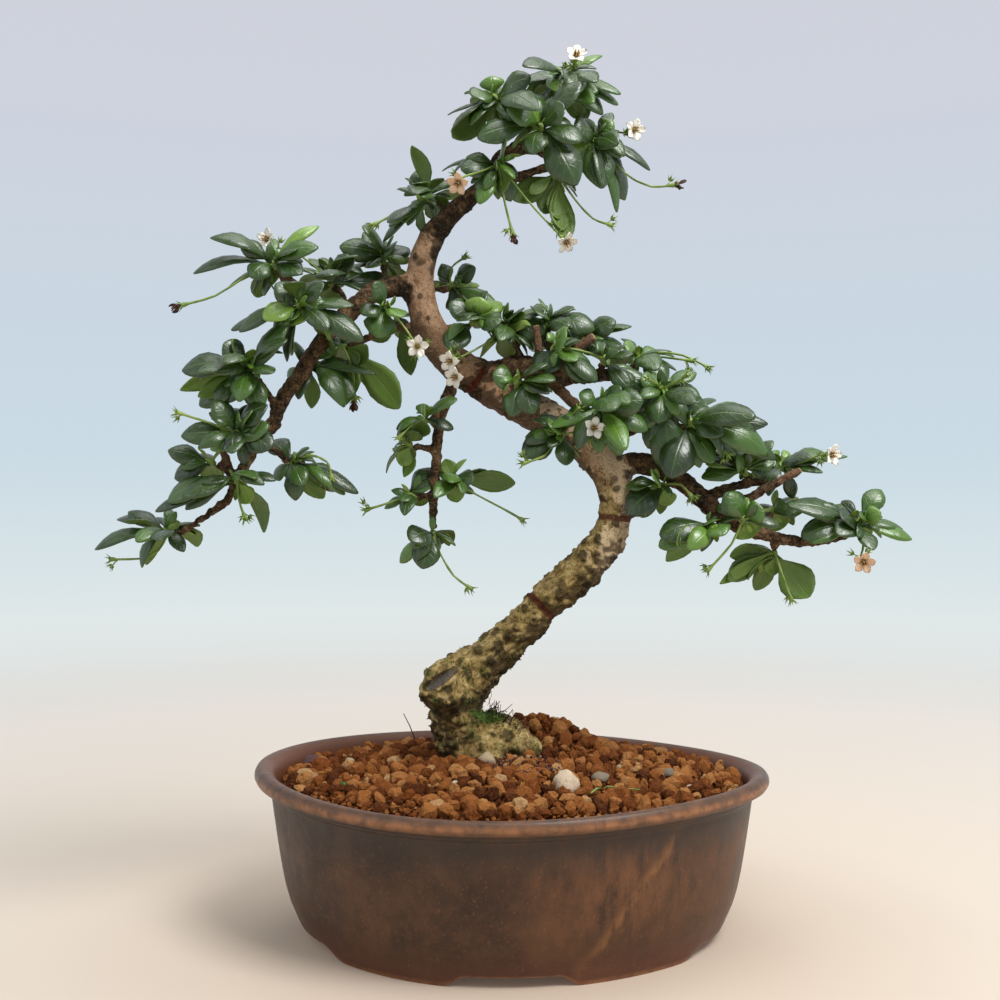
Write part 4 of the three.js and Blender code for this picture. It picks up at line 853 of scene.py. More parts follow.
def read_trunk(points):
    """For each point: length along the trunk, distance out as a share of its radius, and the offset
    from its line along two directions square to it."""
    best = np.full(len(points), np.inf)
    length = np.zeros(len(points))
    offset = np.zeros((len(points), 2))
    run = 0.0
    for row, after in zip(TRUNK, TRUNK[1:]):
        start, end = real_place(*row[:3]), real_place(*after[:3])
        step = end - start
        size = np.linalg.norm(step)
        ahead = step / size
        t = np.clip((points - start) @ ahead / size, 0, 1)
        out = points - start - t[:, None] * step
        share = np.linalg.norm(out, axis=1) / (row[3] + (after[3] - row[3]) * t)
        nearer = share < best
        best[nearer] = share[nearer]
        length[nearer] = (run + t * size)[nearer]
        square = np.cross(ahead, (0, 1, 0))
        offset[nearer] = np.stack([out[:, 1], out @ square], axis=1)[nearer]
        run += size
    return length, best, offset


length, outward, offset = read_trunk(wood_points)
HEIGHT_OF_FIRST_FORK = 118
off_trunk = smooth_step(1.2, 1.6, outward) * (wood_points[:, 2] > HEIGHT_OF_FIRST_FORK)
print("share of points on branches:", round(float((off_trunk > 0.5).mean()), 2))


# %% Soften the joints
def soften(points, edges, share, times):
    """Moves each point towards the middle of its neighbours, by its own share, several times."""
    count = np.bincount(edges.ravel(), minlength=len(points))
    for _ in range(times):
        middle = np.empty_like(points)
        for axis in range(3):
            ends = np.concatenate([points[edges[:, 1], axis], points[edges[:, 0], axis]])
            starts = np.concatenate([edges[:, 0], edges[:, 1]])
            middle[:, axis] = np.bincount(starts, ends, minlength=len(points)) / count
        points = points + share[:, None] * (middle - points)
    return points


HALF_WAY, TIMES_ALL_OVER, TIMES_ON_TRUNK = 0.5, 6, 26
wood_points = soften(wood_points, wood_edges, np.full(len(wood_points), HALF_WAY), TIMES_ALL_OVER)
wood_points = soften(wood_points, wood_edges, HALF_WAY * (1 - off_trunk), TIMES_ON_TRUNK)


def set_wood_points(points):
    """Writes points back to the wood, and returns its new outward directions."""
    wood.data.vertices.foreach_set("co", (points * MM).ravel())
    wood.data.update()
    normals = np.empty(len(points) * 3)
    wood.data.vertices.foreach_get("normal", normals)
    return normals.reshape(-1, 3)


wood_normals = set_wood_points(wood_points)
wood_faces = [p.vertices[:] for p in wood.data.polygons]
sight_tree = BVHTree.FromPolygons([v.co for v in wood.data.vertices], wood_faces)
near = kdtree.KDTree(len(wood_points))
for i, p in enumerate(wood_points):
    near.insert(p, i)
near.balance()


def wood_seen(across, down):
    """The point of the wood, in mm, that is seen at a place in the picture, or None where there is none."""
    hit = sight_tree.ray_cast(EYE, sight(across, down).normalized())[0]
    return None if hit is None else hit / MM


# %% Warts and knots
# Old fukien tea bark carries warts: healed bases of shoots that were rubbed off. Those that the picture
# shows are placed where they are seen. Others, at a chance spacing, carry on round the back. Each row is
# a place in the picture and a radius in mm.
SEEN_WARTS = [
    (427, 231, 3.4),
    (441, 224, 3.0),
    (455, 214, 2.6),
    (468, 208, 2.2),
    (392, 292, 2.6),
    (378, 297, 2.4),
    (459, 722, 2.6),
    (475, 718, 2.8),
    (508, 735, 3.0),
    (467, 732, 2.2),
    (440, 748, 2.8),
    (451, 741, 3.4),
    (467, 673, 2.6),
    (562, 583, 2.2),
    (509, 633, 2.2),
    (499, 646, 2.6),
    (534, 621, 2.4),
    (525, 608, 1.8),
    (561, 593, 2.6),
    (582, 574, 2.0),
    (479, 650, 2.6),
    (517, 627, 1.8),
    (547, 601, 2.0),
    (614, 480, 1.9),
    (617, 488, 1.6),
    (620, 507, 1.8),
    (615, 523, 1.7),
    (612, 557, 2.2),
    (598, 538, 2.0),
    (583, 555, 2.1),
    (590, 470, 1.6),
    (603, 497, 1.6),
]
EYE_KNOTS = [(415, 256, 1.5), (410, 286, 1.4), (420, 296, 1.3)]
EYE_KNOTS += [(413, 240, 1.3), (440, 226, 2.2), (428, 318, 1.1)]
WART_RISE, KNOT_RISE = 1.2, 0.3
LOWER_TRUNK_END, MIDDLE_TRUNK_END = 140, 185
chance = random.Random(5)
warts = []
for spots, rise in ((SEEN_WARTS, WART_RISE), (EYE_KNOTS, KNOT_RISE)):
    for across, down, radius in spots:
        place = wood_seen(across, down)
        if place:
            warts.append((place, radius, rise, rise == WART_RISE))
seen_count = len(warts)


def wart_spacing(run):
    """The usual distance between warts, in mm: close on the old wood and wide on the young."""
    if run < LOWER_TRUNK_END:
        return 5.0
    return 7.0 if run < MIDDLE_TRUNK_END else 15.0


WART_TRIES, SOIL_LINE = 9000, 62
order = list(range(len(wood_points)))
chance.shuffle(order)
for i in order[:WART_TRIES]:
    place = Vector(wood_points[i])
    if off_trunk[i] > 0.1 or place.z < SOIL_LINE:
        continue
    gap = wart_spacing(length[i]) * chance.uniform(0.85, 1.5)
    if all((place - other[0]).length > gap for other in warts):
        young = length[i] > MIDDLE_TRUNK_END
        rise = chance.uniform(0.1, 0.3) if young else chance.uniform(0.6, 1.3)
        radius = chance.uniform(1.2, 1.8) if young else chance.uniform(1.3, 2.6)
        warts.append((place, radius, rise, not young))
print("warts:", len(warts), "of which seen:", seen_count)

# %% Push the bark out
lift = np.zeros(len(wood_points))
wart_value = np.zeros(len(wood_points))
for place, radius, rise, cupped in warts:
    darkness = chance.choice((0.4, 0.55, 0.75, 1.0)) if cupped else 1.0
    for spot, i, distance in near.find_range(place, radius * 2.4):
        crooked = noise.noise(spot / 1.7) + 0.6 * noise.noise(spot / 0.8)
        share = distance / radius * (1 + 0.5 * crooked * cupped)
        dome = 1 - smooth_step(0.5, 1.2, share)
        cup = math.exp(-((share / 0.42) ** 2))
        lift[i] = max(lift[i], rise * dome)
        if cupped:
            lift[i] -= 0.6 * rise * cup
        wart_value[i] = max(wart_value[i], darkness * float(1 - smooth_step(0.5, 1.35, share)))


def noise_at(size, shift=0.0, points=wood_points):
    """Noise from -1 to 1 at each point, with lumps about size mm across."""
    return np.array([noise.noise(Vector(p) / size + Vector((shift, shift, shift))) for p in points])


oldness = 1 - smooth_step(LOWER_TRUNK_END - 25, MIDDLE_TRUNK_END + 10, length)
slow, middling, quick = noise_at(13.0), noise_at(4.5, 3.0), noise_at(1.9, 9.0)
rough_reach = smooth_step(182, 202, length) * smooth_step(262, 242, length) * (1 - off_trunk)
lift += slow * (0.3 + 0.5 * oldness) * (1 - off_trunk)
lift += middling * (0.12 + 0.55 * oldness + 0.45 * rough_reach) * (1 - off_trunk)
lift += quick * (0.08 + 0.4 * oldness + 0.35 * off_trunk + 0.35 * rough_reach)
lift += middling * 0.55 * off_trunk

# %% Healed cut, groove and wire marks
# The burr at the bend is a healed saw cut: a grey slit of dead wood with lips of callus. Below it the
# bark folds into a groove, darkened as painted shade. Wire that was left on too long has bitten red-brown
# rings.
across_cut = np.array((math.cos(math.radians(35)), 0, math.sin(math.radians(35))))
up_cut = np.array((-across_cut[2], 0, across_cut[0]))
CUT_MIDDLE, CUT_HALF_LENGTH, CUT_HALF_WIDTH = np.array((-28.2, 0, 102.4)), 7.4, 1.9
from_cut = wood_points - CUT_MIDDLE
oval = np.hypot(from_cut @ across_cut / CUT_HALF_LENGTH, from_cut @ up_cut / CUT_HALF_WIDTH)
in_front = (wood_normals[:, 1] < -0.2) & (wood_points[:, 1] < 6)
slit = (1 - smooth_step(0.8, 1.05, oval)) * in_front
lip = np.exp(-(((oval - 1.5) / 0.38) ** 2)) * in_front
lift = lift * (1 - slit) - 1.3 * slit + 0.9 * lip
wart_value *= 1 - slit

GROOVE_HEIGHT, GROOVE_SLOPE, GROOVE_HALF = 89.6, 0.12, 2.3
from_groove = wood_points[:, 2] - GROOVE_HEIGHT - GROOVE_SLOPE * (wood_points[:, 0] + 20)
groove = np.exp(-((from_groove / GROOVE_HALF) ** 2)) * (wood_points[:, 0] < -6) * (1 - off_trunk)
lift -= 1.1 * groove * (0.7 + 0.3 * middling)

# Each mark: its middle, the direction of the wood there, half its width and how far round it reaches.
WIRE_MARKS = [
    ((44, 2, 167.6), (0.1, 0, 1), 1.7, 15),
    ((13.7, 4, 130.2), (0.74, 0, 0.67), 1.7, 13),
    ((-15, 8, 222.7), (0.77, 0, -0.63), 1.5, 11),
    ((-3.6, 8, 208.3), (0.8, 0, -0.6), 1.1, 9),
    ((29, 2, 202), (0.75, 0, -0.66), 0.8, 9),
]
wire_value = np.zeros(len(wood_points))
for middle, direction, half, reach in WIRE_MARKS:
    from_ring = wood_points - np.array(middle)
    ahead = np.array(direction) / np.linalg.norm(direction)
    off_ring = from_ring @ ahead + 0.7 * middling
    band = np.exp(-((off_ring / half) ** 2)) * (np.linalg.norm(from_ring, axis=1) < reach)
    wire_value = np.maximum(wire_value, band * (1.0 + 0.3 * slow))
lift -= 0.6 * wire_value

# %% Cut stubs and rough knuckles
# Each stub: where it starts and ends, as right, up and back in mm.
STUBS = [
    ((11.5, 237, -6), (10.5, 247, -7)),
    ((26, 236, -3), (34.5, 242.5, -4)),
    ((21.5, 219, -7), (28, 213, -9)),
    ((109, 182, -9), (119.5, 187.5, -10)),
    ((-88, 261.5, -15), (-94, 268, -15)),
    ((-116.5, 190, -20), (-119.5, 199.5, -22)),
]
stub_value = np.zeros(len(wood_points))
cut_value = np.zeros(len(wood_points))
for start, end in STUBS:
    tip = real_place(*end)
    ahead = tip - real_place(*start)
    ahead /= np.linalg.norm(ahead)
    back = (tip - wood_points) @ ahead
    out = np.linalg.norm(wood_points - tip + back[:, None] * ahead, axis=1)
    beside = (out < 4) & (back > -3)
    stub_value = np.maximum(stub_value, beside * (1 - smooth_step(7, 13, back)))
    cut_value = np.maximum(cut_value, beside * (wood_normals @ ahead > 0.55) * (back < 2.5))

KNUCKLES = [((-28.5, 0, 285), 6.5), ((-30, -2, 276), 4), ((-44, 1, 260.5), 7)]
KNUCKLES += [((13, 0, 224), 9), ((-17, 4, 219), 6)]
rough_value = np.zeros(len(wood_points))
for middle, reach in KNUCKLES:
    distance = np.linalg.norm(wood_points - real_place(*np.array(middle)[[0, 2, 1]]), axis=1)
    rough_value = np.maximum(rough_value, 1 - smooth_step(0.6, 1.15, distance / reach + 0.25 * middling))
lift += rough_value * 0.6 * quick * (1 - cut_value)
lift *= 1 - 0.8 * cut_value

wood_points = wood_points + lift[:, None] * wood_normals
wood_normals = set_wood_points(wood_points)
print("bark pushed from", round(float(lift.min()), 2), "to", round(float(lift.max()), 2), "mm")

# %% Values for the bark
SADDLE = np.array((-9.5, 4.0, 86.5))
from_saddle = np.linalg.norm((wood_points - SADDLE) / (8.5, 9, 4.5), axis=1)
saddle_moss = (1 - smooth_step(0.55, 1.1, from_saddle + 0.25 * middling)) * (wood_normals[:, 2] > 0.15)
creeping = smooth_step(-0.05, 0.45, middling + 0.4 * quick) * smooth_step(150, 96, wood_points[:, 2])
moss_value = np.clip(saddle_moss + 0.5 * creeping, 0, 1) * (1 - slit)
# Undersides are darkened in the bark colour below, as painted shade.
below = smooth_step(0.25, -0.6, wood_normals[:, 2]) * (1 - off_trunk)
PALE_TRUNK_END = 284
above_trunk = smooth_step(PALE_TRUNK_END - 3, PALE_TRUNK_END + 3, wood_points[:, 2] + 2 * middling)
flaking = smooth_step(0.0, 0.35, slow + 0.7 * middling) * (0.3 + 0.4 * below) * (1 - off_trunk)
bend = smooth_step(112, 142, length) * smooth_step(226, 206, length) * (1 - off_trunk)
flaking *= 1 - 0.7 * bend
flaking += 0.75 * rough_reach * smooth_step(-0.1, 0.4, quick + 0.7 * middling + 0.4 * slow)
# The edge of the slit is darkened as painted shade.
slit_edge = np.exp(-(((oval - 1.0) / 0.16) ** 2)) * in_front
# Painted shade and dirt in one value: shade in the groove, on the undersides and at the slit's edge; flaking
# bark, more of it underneath; and darker towards the bottom, near the soil.
dirt = 0.85 * groove + 0.72 * below + flaking + 0.8 * slit_edge + 0.4 * smooth_step(70, 64, wood_points[:, 2])
dirt = np.clip(dirt, 0, 1)
store(
    wood,
    young=smooth_step(135, 195, length + 6 * slow),
    branch=np.clip(off_trunk + rough_value + above_trunk, 0, 1) * (1 - cut_value),
    # The bend is paled more on the side that faces right, where the light falls: painted light.
    pale=bend * smooth_step(-1.1, 0.7, wood_normals[:, 0] + 0.1 * middling),
    wart=np.clip(wart_value * (1 - 0.5 * off_trunk), 0, 1),
    wire=np.clip(wire_value, 0, 1),
    moss=moss_value,
    slit=slit,
    dirt=dirt,
    stub=stub_value,
    cut=cut_value,
)
layer = wood.data.attributes.new("fibre", "FLOAT_VECTOR", "POINT")
fibre = np.stack([length * 0.25, offset[:, 0], offset[:, 1]], axis=1) * MM
fibre = np.where(off_trunk[:, None] > 0.5, wood_points * MM, fibre)
layer.data.foreach_set("vector", fibre.astype(np.float32).ravel())

# %% Bark material
# Fukien tea bark is thin and hard. Low down it is tan with olive and near-black blotches, green in the
# hollows; higher it is smoother and pinker; twigs are dark brown and rough. Fissures run along the
# trunk, so their noise reads the stored fibre direction, drawn out four times along it.
bark, tree, shader = new_material("old_bark")
place = add(tree, COORDS).outputs["Object"]
along_fibre = add(tree, ATTRIBUTE, attribute_name="fibre").outputs["Vector"]
bark_value = {
    name: add(tree, ATTRIBUTE, attribute_name=name).outputs["Fac"]
    for name in ("young", "branch", "pale", "wart", "wire", "moss", "slit", "dirt", "stub", "cut")
}
blotch = add(tree, NOISE, {"Vector": place, "Scale": 1 / (3.6 * MM), "Detail": 9.0, "Roughness": 0.75})
grain = add(tree, NOISE, {"Vector": along_fibre, "Scale": 1 / (1.3 * MM), "Detail": 6.0, "Roughness": 0.7})
speck = add(tree, NOISE, {"Vector": place, "Scale": 1 / (0.9 * MM), "Detail": 4.0, "Roughness": 0.75})
old_stops = [(0.33, "#35270f"), (0.41, "#7d6634"), (0.5, "#b4985b"), (0.6, "#d8bd82"), (0.76, "#ead6a8")]
old_wood = add(tree, RAMP, {"Fac": blotch}, stops=old_stops)
young_stops = [(0.32, "#77512f"), (0.41, "#ad8360"), (0.53, "#cba27f"), (0.72, "#dcb995")]
young_wood = add(tree, RAMP, {"Fac": blotch}, stops=young_stops)
twig_stops = [(0.37, "#1d120a"), (0.46, "#42301f"), (0.55, "#6f5337"), (0.69, "#a0805e")]
twig_wood = add(tree, RAMP, {"Fac": blotch}, stops=twig_stops)
LAYERS = [
    ("young", young_wood, 1.0),
    ("branch", twig_wood, 1.0),
    # Painted light on the bend's right-facing side.
    ("pale", "#f7dab2", 0.72),
    ("wart", "#2b2510", 0.78),
    # Painted shade and dirt darken the bark here.
    ("dirt", "#22170c", 0.75),
    ("stub", "#86644b", 0.8),
    ("wire", "#5a200f", 0.9),
    ("moss", "#45561c", 0.75),
    ("cut", "#b99873", 1.0),
    ("slit", "#6f675f", 0.95),
]
coat = old_wood
ragged = add(tree, RANGE, {"Value": speck, "From Min": 0.3, "From Max": 0.7, "To Min": -0.34, "To Max": 0.34})
for name, colour, most in LAYERS:
    raised = add(tree, MATH, {0: bark_value[name], 1: ragged}, operation="ADD")
    share = add(tree, RANGE, {"Value": raised, "From Min": 0.35, "From Max": 0.6, "To Max": most})
    coat = add(tree, BLEND, {"Factor": share, "A": coat, "B": colour}, data_type="RGBA")
# The fissures and pores lie low in the bump below and are darkened as painted shade; the fissures' dark is
# partly the bark's own colour and partly painted shade.
fissure_shade_share = add(tree, RAMP, {"Fac": grain}, stops=[(0.34, 0.7), (0.41, 0.0)])
pore_shade_share = add(tree, RAMP, {"Fac": speck}, stops=[(0.36, 0.55), (0.44, 0.0)])
pale_share = add(tree, RAMP, {"Fac": speck}, stops=[(0.56, 0.0), (0.68, 0.4)])
for share, colour in ((fissure_shade_share, "#22160b"), (pore_shade_share, "#2a2010"), (pale_share, "#c4ab7c")):
    coat = add(tree, BLEND, {"Factor": share, "A": coat, "B": colour}, data_type="RGBA")
height = add(tree, MATH, {0: grain, 1: speck}, operation="ADD")
relief = add(tree, BUMP, {"Height": height, "Strength": 1.0, "Distance": 1.2 * MM})
finish_material(tree, shader, Base_Color=coat, Normal=relief, Roughness=0.82)
finish_material(tree, shader, Specular_IOR_Level=0.25)
wood.data.materials.clear()
wood.data.materials.append(bark)
wood.data.polygons.foreach_set("use_smooth", [True] * len(wood.data.polygons))
place_piece(wood, "bark", "trunk_and_branches")

# %% [markdown]
# ## Moss and fine roots
# A patch of bright moss grows in the saddle between the trunk and its right root, and thin moss creeps
# over the old bark. Each tuft is a tiny cone, so Geometry Nodes set thousands of them where the stored
# moss value says. The dead rootlets beside it are bent threads.

# %% Moss
moss, tree, shader = new_material("cushion_moss")
place = add(tree, COORDS).outputs["Object"]
tuft_noise = add(tree, NOISE, {"Vector": place, "Scale": 1 / (1.6 * MM), "Detail": 2.0})
moss_stops = [(0.3, "#2c3d0f"), (0.5, "#47601b"), (0.72, "#748c38")]
moss_colour = add(tree, RAMP, {"Fac": tuft_noise}, stops=moss_stops)
finish_material(tree, shader, Base_Color=moss_colour, Roughness=0.8)

tufts, get = new_group("moss_tufts", Density="Float", Height="Float", Seed="Int", Material="Material")
thick = add(tufts, "GeometryNodeInputNamedAttribute", {"Name": "tuft"}, data_type="FLOAT")
dense = add(tufts, MATH, {0: thick, 1: get["Density"]}, operation="MULTIPLY")
where_tufts = {"Mesh": get["Surface"], "Density": dense, "Seed": get["Seed"]}
spots = add(tufts, "GeometryNodeDistributePointsOnFaces", where_tufts)
cone_sizes = {"Vertices": 4, "Radius Top": 0.0, "Radius Bottom": 0.34, "Depth": 1.0}
cone = add(tufts, "GeometryNodeMeshCone", cone_sizes, fill_type="NONE")
tall = add(tufts, CHANCE, {"Min": 0.5, "Max": 1.3, "Seed": get["Seed"]}, data_type="FLOAT")
tall = add(tufts, MATH, {0: tall, 1: get["Height"]}, operation="MULTIPLY")
lean = add(tufts, CHANCE, data_type="FLOAT_VECTOR")
lean.inputs[0].default_value = (-0.5, -0.5, 0)
lean.inputs[1].default_value = (0.5, 0.5, math.tau)
turns = {0: spots.outputs["Rotation"], 1: lean}
leaning = add(tufts, "FunctionNodeRotateRotation", turns, rotation_space="LOCAL")
spot_inputs = {"Points": spots, "Instance": cone, "Rotation": leaning, "Scale": tall}
set_out = add(tufts, "GeometryNodeInstanceOnPoints", spot_inputs)
real = add(tufts, "GeometryNodeRealizeInstances", {"Geometry": set_out})
done = add(tufts, "GeometryNodeSetMaterial", {"Geometry": real, "Material": get["Material"]})
add(tufts, "NodeGroupOutput", {0: done})

moss_bed = bpy.data.objects.new("moss_patch", wood.data.copy())
bpy.context.scene.collection.objects.link(moss_bed)
store(moss_bed, tuft=np.clip(saddle_moss + 0.06 * moss_value * (moss_value > 0.3), 0, 1))
TUFTS_PER_SQUARE_METRE, TUFT_HEIGHT = 7e6, 0.95 * MM
grow_by(moss_bed, tufts, Density=TUFTS_PER_SQUARE_METRE, Height=TUFT_HEIGHT, Seed=4, Material=moss)
place_piece(moss_bed, "leaf")


# %% Rootlets and other threads
def thread(path, radius, sides=4, taper=0.5):
    """A thin tube along a path of points, thinner at its end."""
    points = []
    for i, p in enumerate(path):
        ahead = (path[min(i + 1, len(path) - 1)] - path[max(i - 1, 0)]).normalized()
        first = ahead.orthogonal().normalized()
        second = ahead.cross(first)
        wide = radius * (1 - (1 - taper) * i / (len(path) - 1))
        for k in range(sides):
            angle = math.tau * k / sides
            points.append(p + (first * math.cos(angle) + second * math.sin(angle)) * wide)
    faces = ring_faces(len(path), sides)
    faces.append(tuple(range(sides))[::-1])
    faces.append(tuple(range(len(points) - sides, len(points))))
    return points, faces


def wander(start, direction, reach, bend, chance, steps=7):
    """A path that sets out in a direction and strays from it."""
    path, ahead = [start], direction.normalized()
    for _ in range(steps):
        ahead = (ahead + any_way(chance) * bend).normalized()
        path.append(path[-1] + ahead * reach / steps)
    return path


rootlet, tree, shader = new_material("dry_rootlet")
place = add(tree, COORDS).outputs["Object"]
dry = add(tree, NOISE, {"Vector": place, "Scale": 1 / (1.5 * MM)})
dry_colour = add(tree, RAMP, {"Fac": dry}, stops=[(0.35, "#1c100a"), (0.65, "#4a2c1c")])
finish_material(tree, shader, Base_Color=dry_colour, Roughness=0.85)

ROOTLET_ROOTS = [(-8.5, 90), (-6.5, 89), (-5, 87.5), (-3, 86.5), (-1, 85), (1.5, 83.5), (4, 81.5)]
chance = random.Random(21)
threads = []
for right, up in ROOTLET_ROOTS:
    for _ in range(5):
        start = Vector((right + chance.uniform(-1.2, 1.2), chance.uniform(1, 9), up - 3)) * MM
        upward = Vector((chance.uniform(-0.7, 0.9), chance.uniform(-0.7, 0.7), 1))
        reach = chance.uniform(4, 8.5) * MM
        threads.append(thread(wander(start, upward, reach, 0.45, chance), chance.uniform(0.2, 0.42) * MM))
HAIR = [(-7.5, 102, 4), (-8.2, 98, 3), (-7.9, 94, 3), (-9.5, 90, 3)]
DRY_STALK = [(-42.6, 60, 52), (-43.2, 68, 52), (-45.2, 73, 52), (-48, 78.5, 52)]
for line, radius, taper in ((HAIR, 0.12, 1), (DRY_STALK, 0.4, 0.5)):
    threads.append(thread([Vector((x, y, z)) * MM for x, z, y in line], radius * MM, taper=taper))
rootlets = mesh_object("dry_rootlets", *joined(threads), rootlet)
place_piece(rootlets, "bark")

# %% [markdown]
# ## Leaves
# A fukien tea leaf is small, thick and glossy, narrow at its foot and widest beyond its middle, with a
# sunken midrib and edges that roll down. The CAD blades give each leaf's foot, tip, width and facing.
# Those are read off here by how the corners are joined, and a finer blade is grown in each place, so
# that every leaf stays where the solid is.

# %% Leaf materials
# The upper skin is waxy, so it is dark green with a broad sheen and a pale rib; the underside is matt and
# yellow-green, made paler still as painted light shining through the leaf. Tiny pale dots are typical of
# the plant. Each leaf has its own tone.
leaf, tree, shader = new_material("waxy_leaf")
place = add(tree, COORDS).outputs["Object"]
leaf_value = {
    name: add(tree, ATTRIBUTE, attribute_name=name).outputs["Fac"]
    for name in ("across", "along", "tone", "under")
}
tone, under = leaf_value["tone"], leaf_value["under"]
upper_stops = [(0.0, "#1d2f0f"), (0.4, "#314c15"), (0.7, "#4c721e"), (1.0, "#7b9d36")]
upper_colour = add(tree, RAMP, {"Fac": tone}, stops=upper_stops)
# The underside's colour is partly its own and partly painted light shining through the leaf.
underside_and_through_light_stops = [(0.0, "#4c6719"), (0.6, "#698721"), (1.0, "#95b142")]
underside_and_through_light_colour = add(tree, RAMP, {"Fac": tone}, stops=underside_and_through_light_stops)
patch = add(tree, NOISE, {"Vector": place, "Scale": 1 / (6 * MM), "Detail": 3.0})
patch_share = add(tree, RAMP, {"Fac": patch}, stops=[(0.4, 0.0), (0.72, 0.35)])
shaded = add(tree, BLEND, {"Factor": patch_share, "A": upper_colour, "B": "#37541f"}, data_type="RGBA")
two_faced = add(tree, BLEND, {"Factor": under, "A": shaded, "B": underside_and_through_light_colour}, data_type="RGBA")
side_share = add(tree, MATH, {0: leaf_value["across"]}, operation="ABSOLUTE")
rib_width = {"From Min": 0.02, "From Max": 0.09, "To Min": 1.0, "To Max": 0.0}
rib = add(tree, RANGE, {"Value": side_share, **rib_width})
slanted = add(tree, MATH, {0: side_share, 1: -0.24, 2: leaf_value["along"]}, operation="MULTIPLY_ADD")
waves = add(tree, MATH, {0: slanted, 1: 40.0}, operation="MULTIPLY")
wavy = add(tree, MATH, {0: waves}, operation="SINE")
vein = add(tree, RANGE, {"Value": wavy, "From Min": 0.8, "From Max": 1.0, "To Max": 0.35})
lines = add(tree, MATH, {0: rib, 1: vein}, operation="MAXIMUM")
line_share = add(tree, MATH, {0: lines, 1: 0.24}, operation="MULTIPLY")
veined = add(tree, BLEND, {"Factor": line_share, "A": two_faced, "B": "#6f8c3c"}, data_type="RGBA")
dots = add(tree, CELLS, {"Vector": place, "Scale": 1 / (1.9 * MM)})
dot_mask = add(tree, MATH, {0: dots, 1: 0.085}, operation="LESS_THAN")
dot_share = add(tree, MATH, {0: dot_mask, 1: 0.4}, operation="MULTIPLY")
dotted = add(tree, BLEND, {"Factor": dot_share, "A": veined, "B": "#b9c2a8"}, data_type="RGBA")
sheen = add(tree, RANGE, {"Value": under, "To Min": 0.34, "To Max": 0.55})
crinkle = add(tree, NOISE, {"Vector": place, "Scale": 1 / (2.4 * MM), "Detail": 2.0})
sunk = add(tree, MATH, {0: lines, 1: -0.6, 2: crinkle}, operation="MULTIPLY_ADD")
relief = add(tree, BUMP, {"Height": sunk, "Strength": 0.45, "Distance": 0.45 * MM})
finish_material(tree, shader, Base_Color=dotted, Roughness=sheen, Normal=relief)
finish_material(tree, shader, IOR=1.48, Specular_IOR_Level=0.85)

# Young stems and flower stalks are pale green and slightly waxy.
stalk, tree, shader = new_material("green_stalk")
place = add(tree, COORDS).outputs["Object"]
stalk_noise = add(tree, NOISE, {"Vector": place, "Scale": 1 / (5 * MM)})
stalk_colour = add(tree, RAMP, {"Fac": stalk_noise}, stops=[(0.3, "#5f7a2c"), (0.7, "#93a750")])
finish_material(tree, shader, Base_Color=stalk_colour, Roughness=0.5)

# %% Read a shoot's blades
NARROWEST_BLADE = 4.4 * MM


def read_blades(shape):
    """The blades of a shoot: foot, widest place, tip, width and upward direction, with their corners.

    A blade ends in a tip that joins just three corners: left, ridge and right."""
    blades = []
    for tip in shape.verts:
        if len(tip.link_edges) != 3:
            continue
        ring = [e.other_vert(tip) for e in tip.link_edges]
        pairs = [(0, 1, 2), (1, 2, 0), (0, 2, 1)]
        i, j, k = max(pairs, key=lambda p: (ring[p[0]].co - ring[p[1]].co).length)
        left, right, ridge = ring[i], ring[j], ring[k]
        width = (left.co - right.co).length
        middle = (left.co + right.co) / 2
        above = ridge.co - middle
        if width < NARROWEST_BLADE or not 0.7 * MM < above.length < 2.2 * MM:
            continue
        used = {tip, left, right, ridge}
        beyond = {e.other_vert(v) for v in ring for e in v.link_edges} - used
        if len(beyond) == 3:
            spread = max((a.co - b.co).length for a in beyond for b in beyond)
            if spread > 3.5 * MM:
                used |= beyond
                beyond = {e.other_vert(v) for v in beyond for e in v.link_edges} - used
        if not beyond:
            continue
        # Sorted, so that each run adds them up in the same order.
        foot = sum(sorted((v.co for v in beyond), key=tuple), Vector()) / len(beyond)
        run = tip.co - foot
        up = above - run * (above.dot(run) / run.length_squared)
        blades.append((foot, middle + above * 0.4, tip.co.copy(), width, up.normalized(), used))
    return blades


# %% Grow one leaf
# Each station is a share of the length and of the width. Five corners across each station give the
# sunken rib and the rolled edges, and the thin underside follows them.
LEAF_STATIONS = [
    (0.0, 0.1),
    (0.12, 0.17),
    (0.26, 0.5),
    (0.42, 0.84),
    (0.58, 1.0),
    (0.73, 0.95),
    (0.86, 0.74),
    (0.95, 0.43),
    (1.0, 0.12),
]
ACROSS = (-1.0, -0.55, 0.0, 0.55, 1.0)
LEAF_THICKNESS = 0.36 * MM


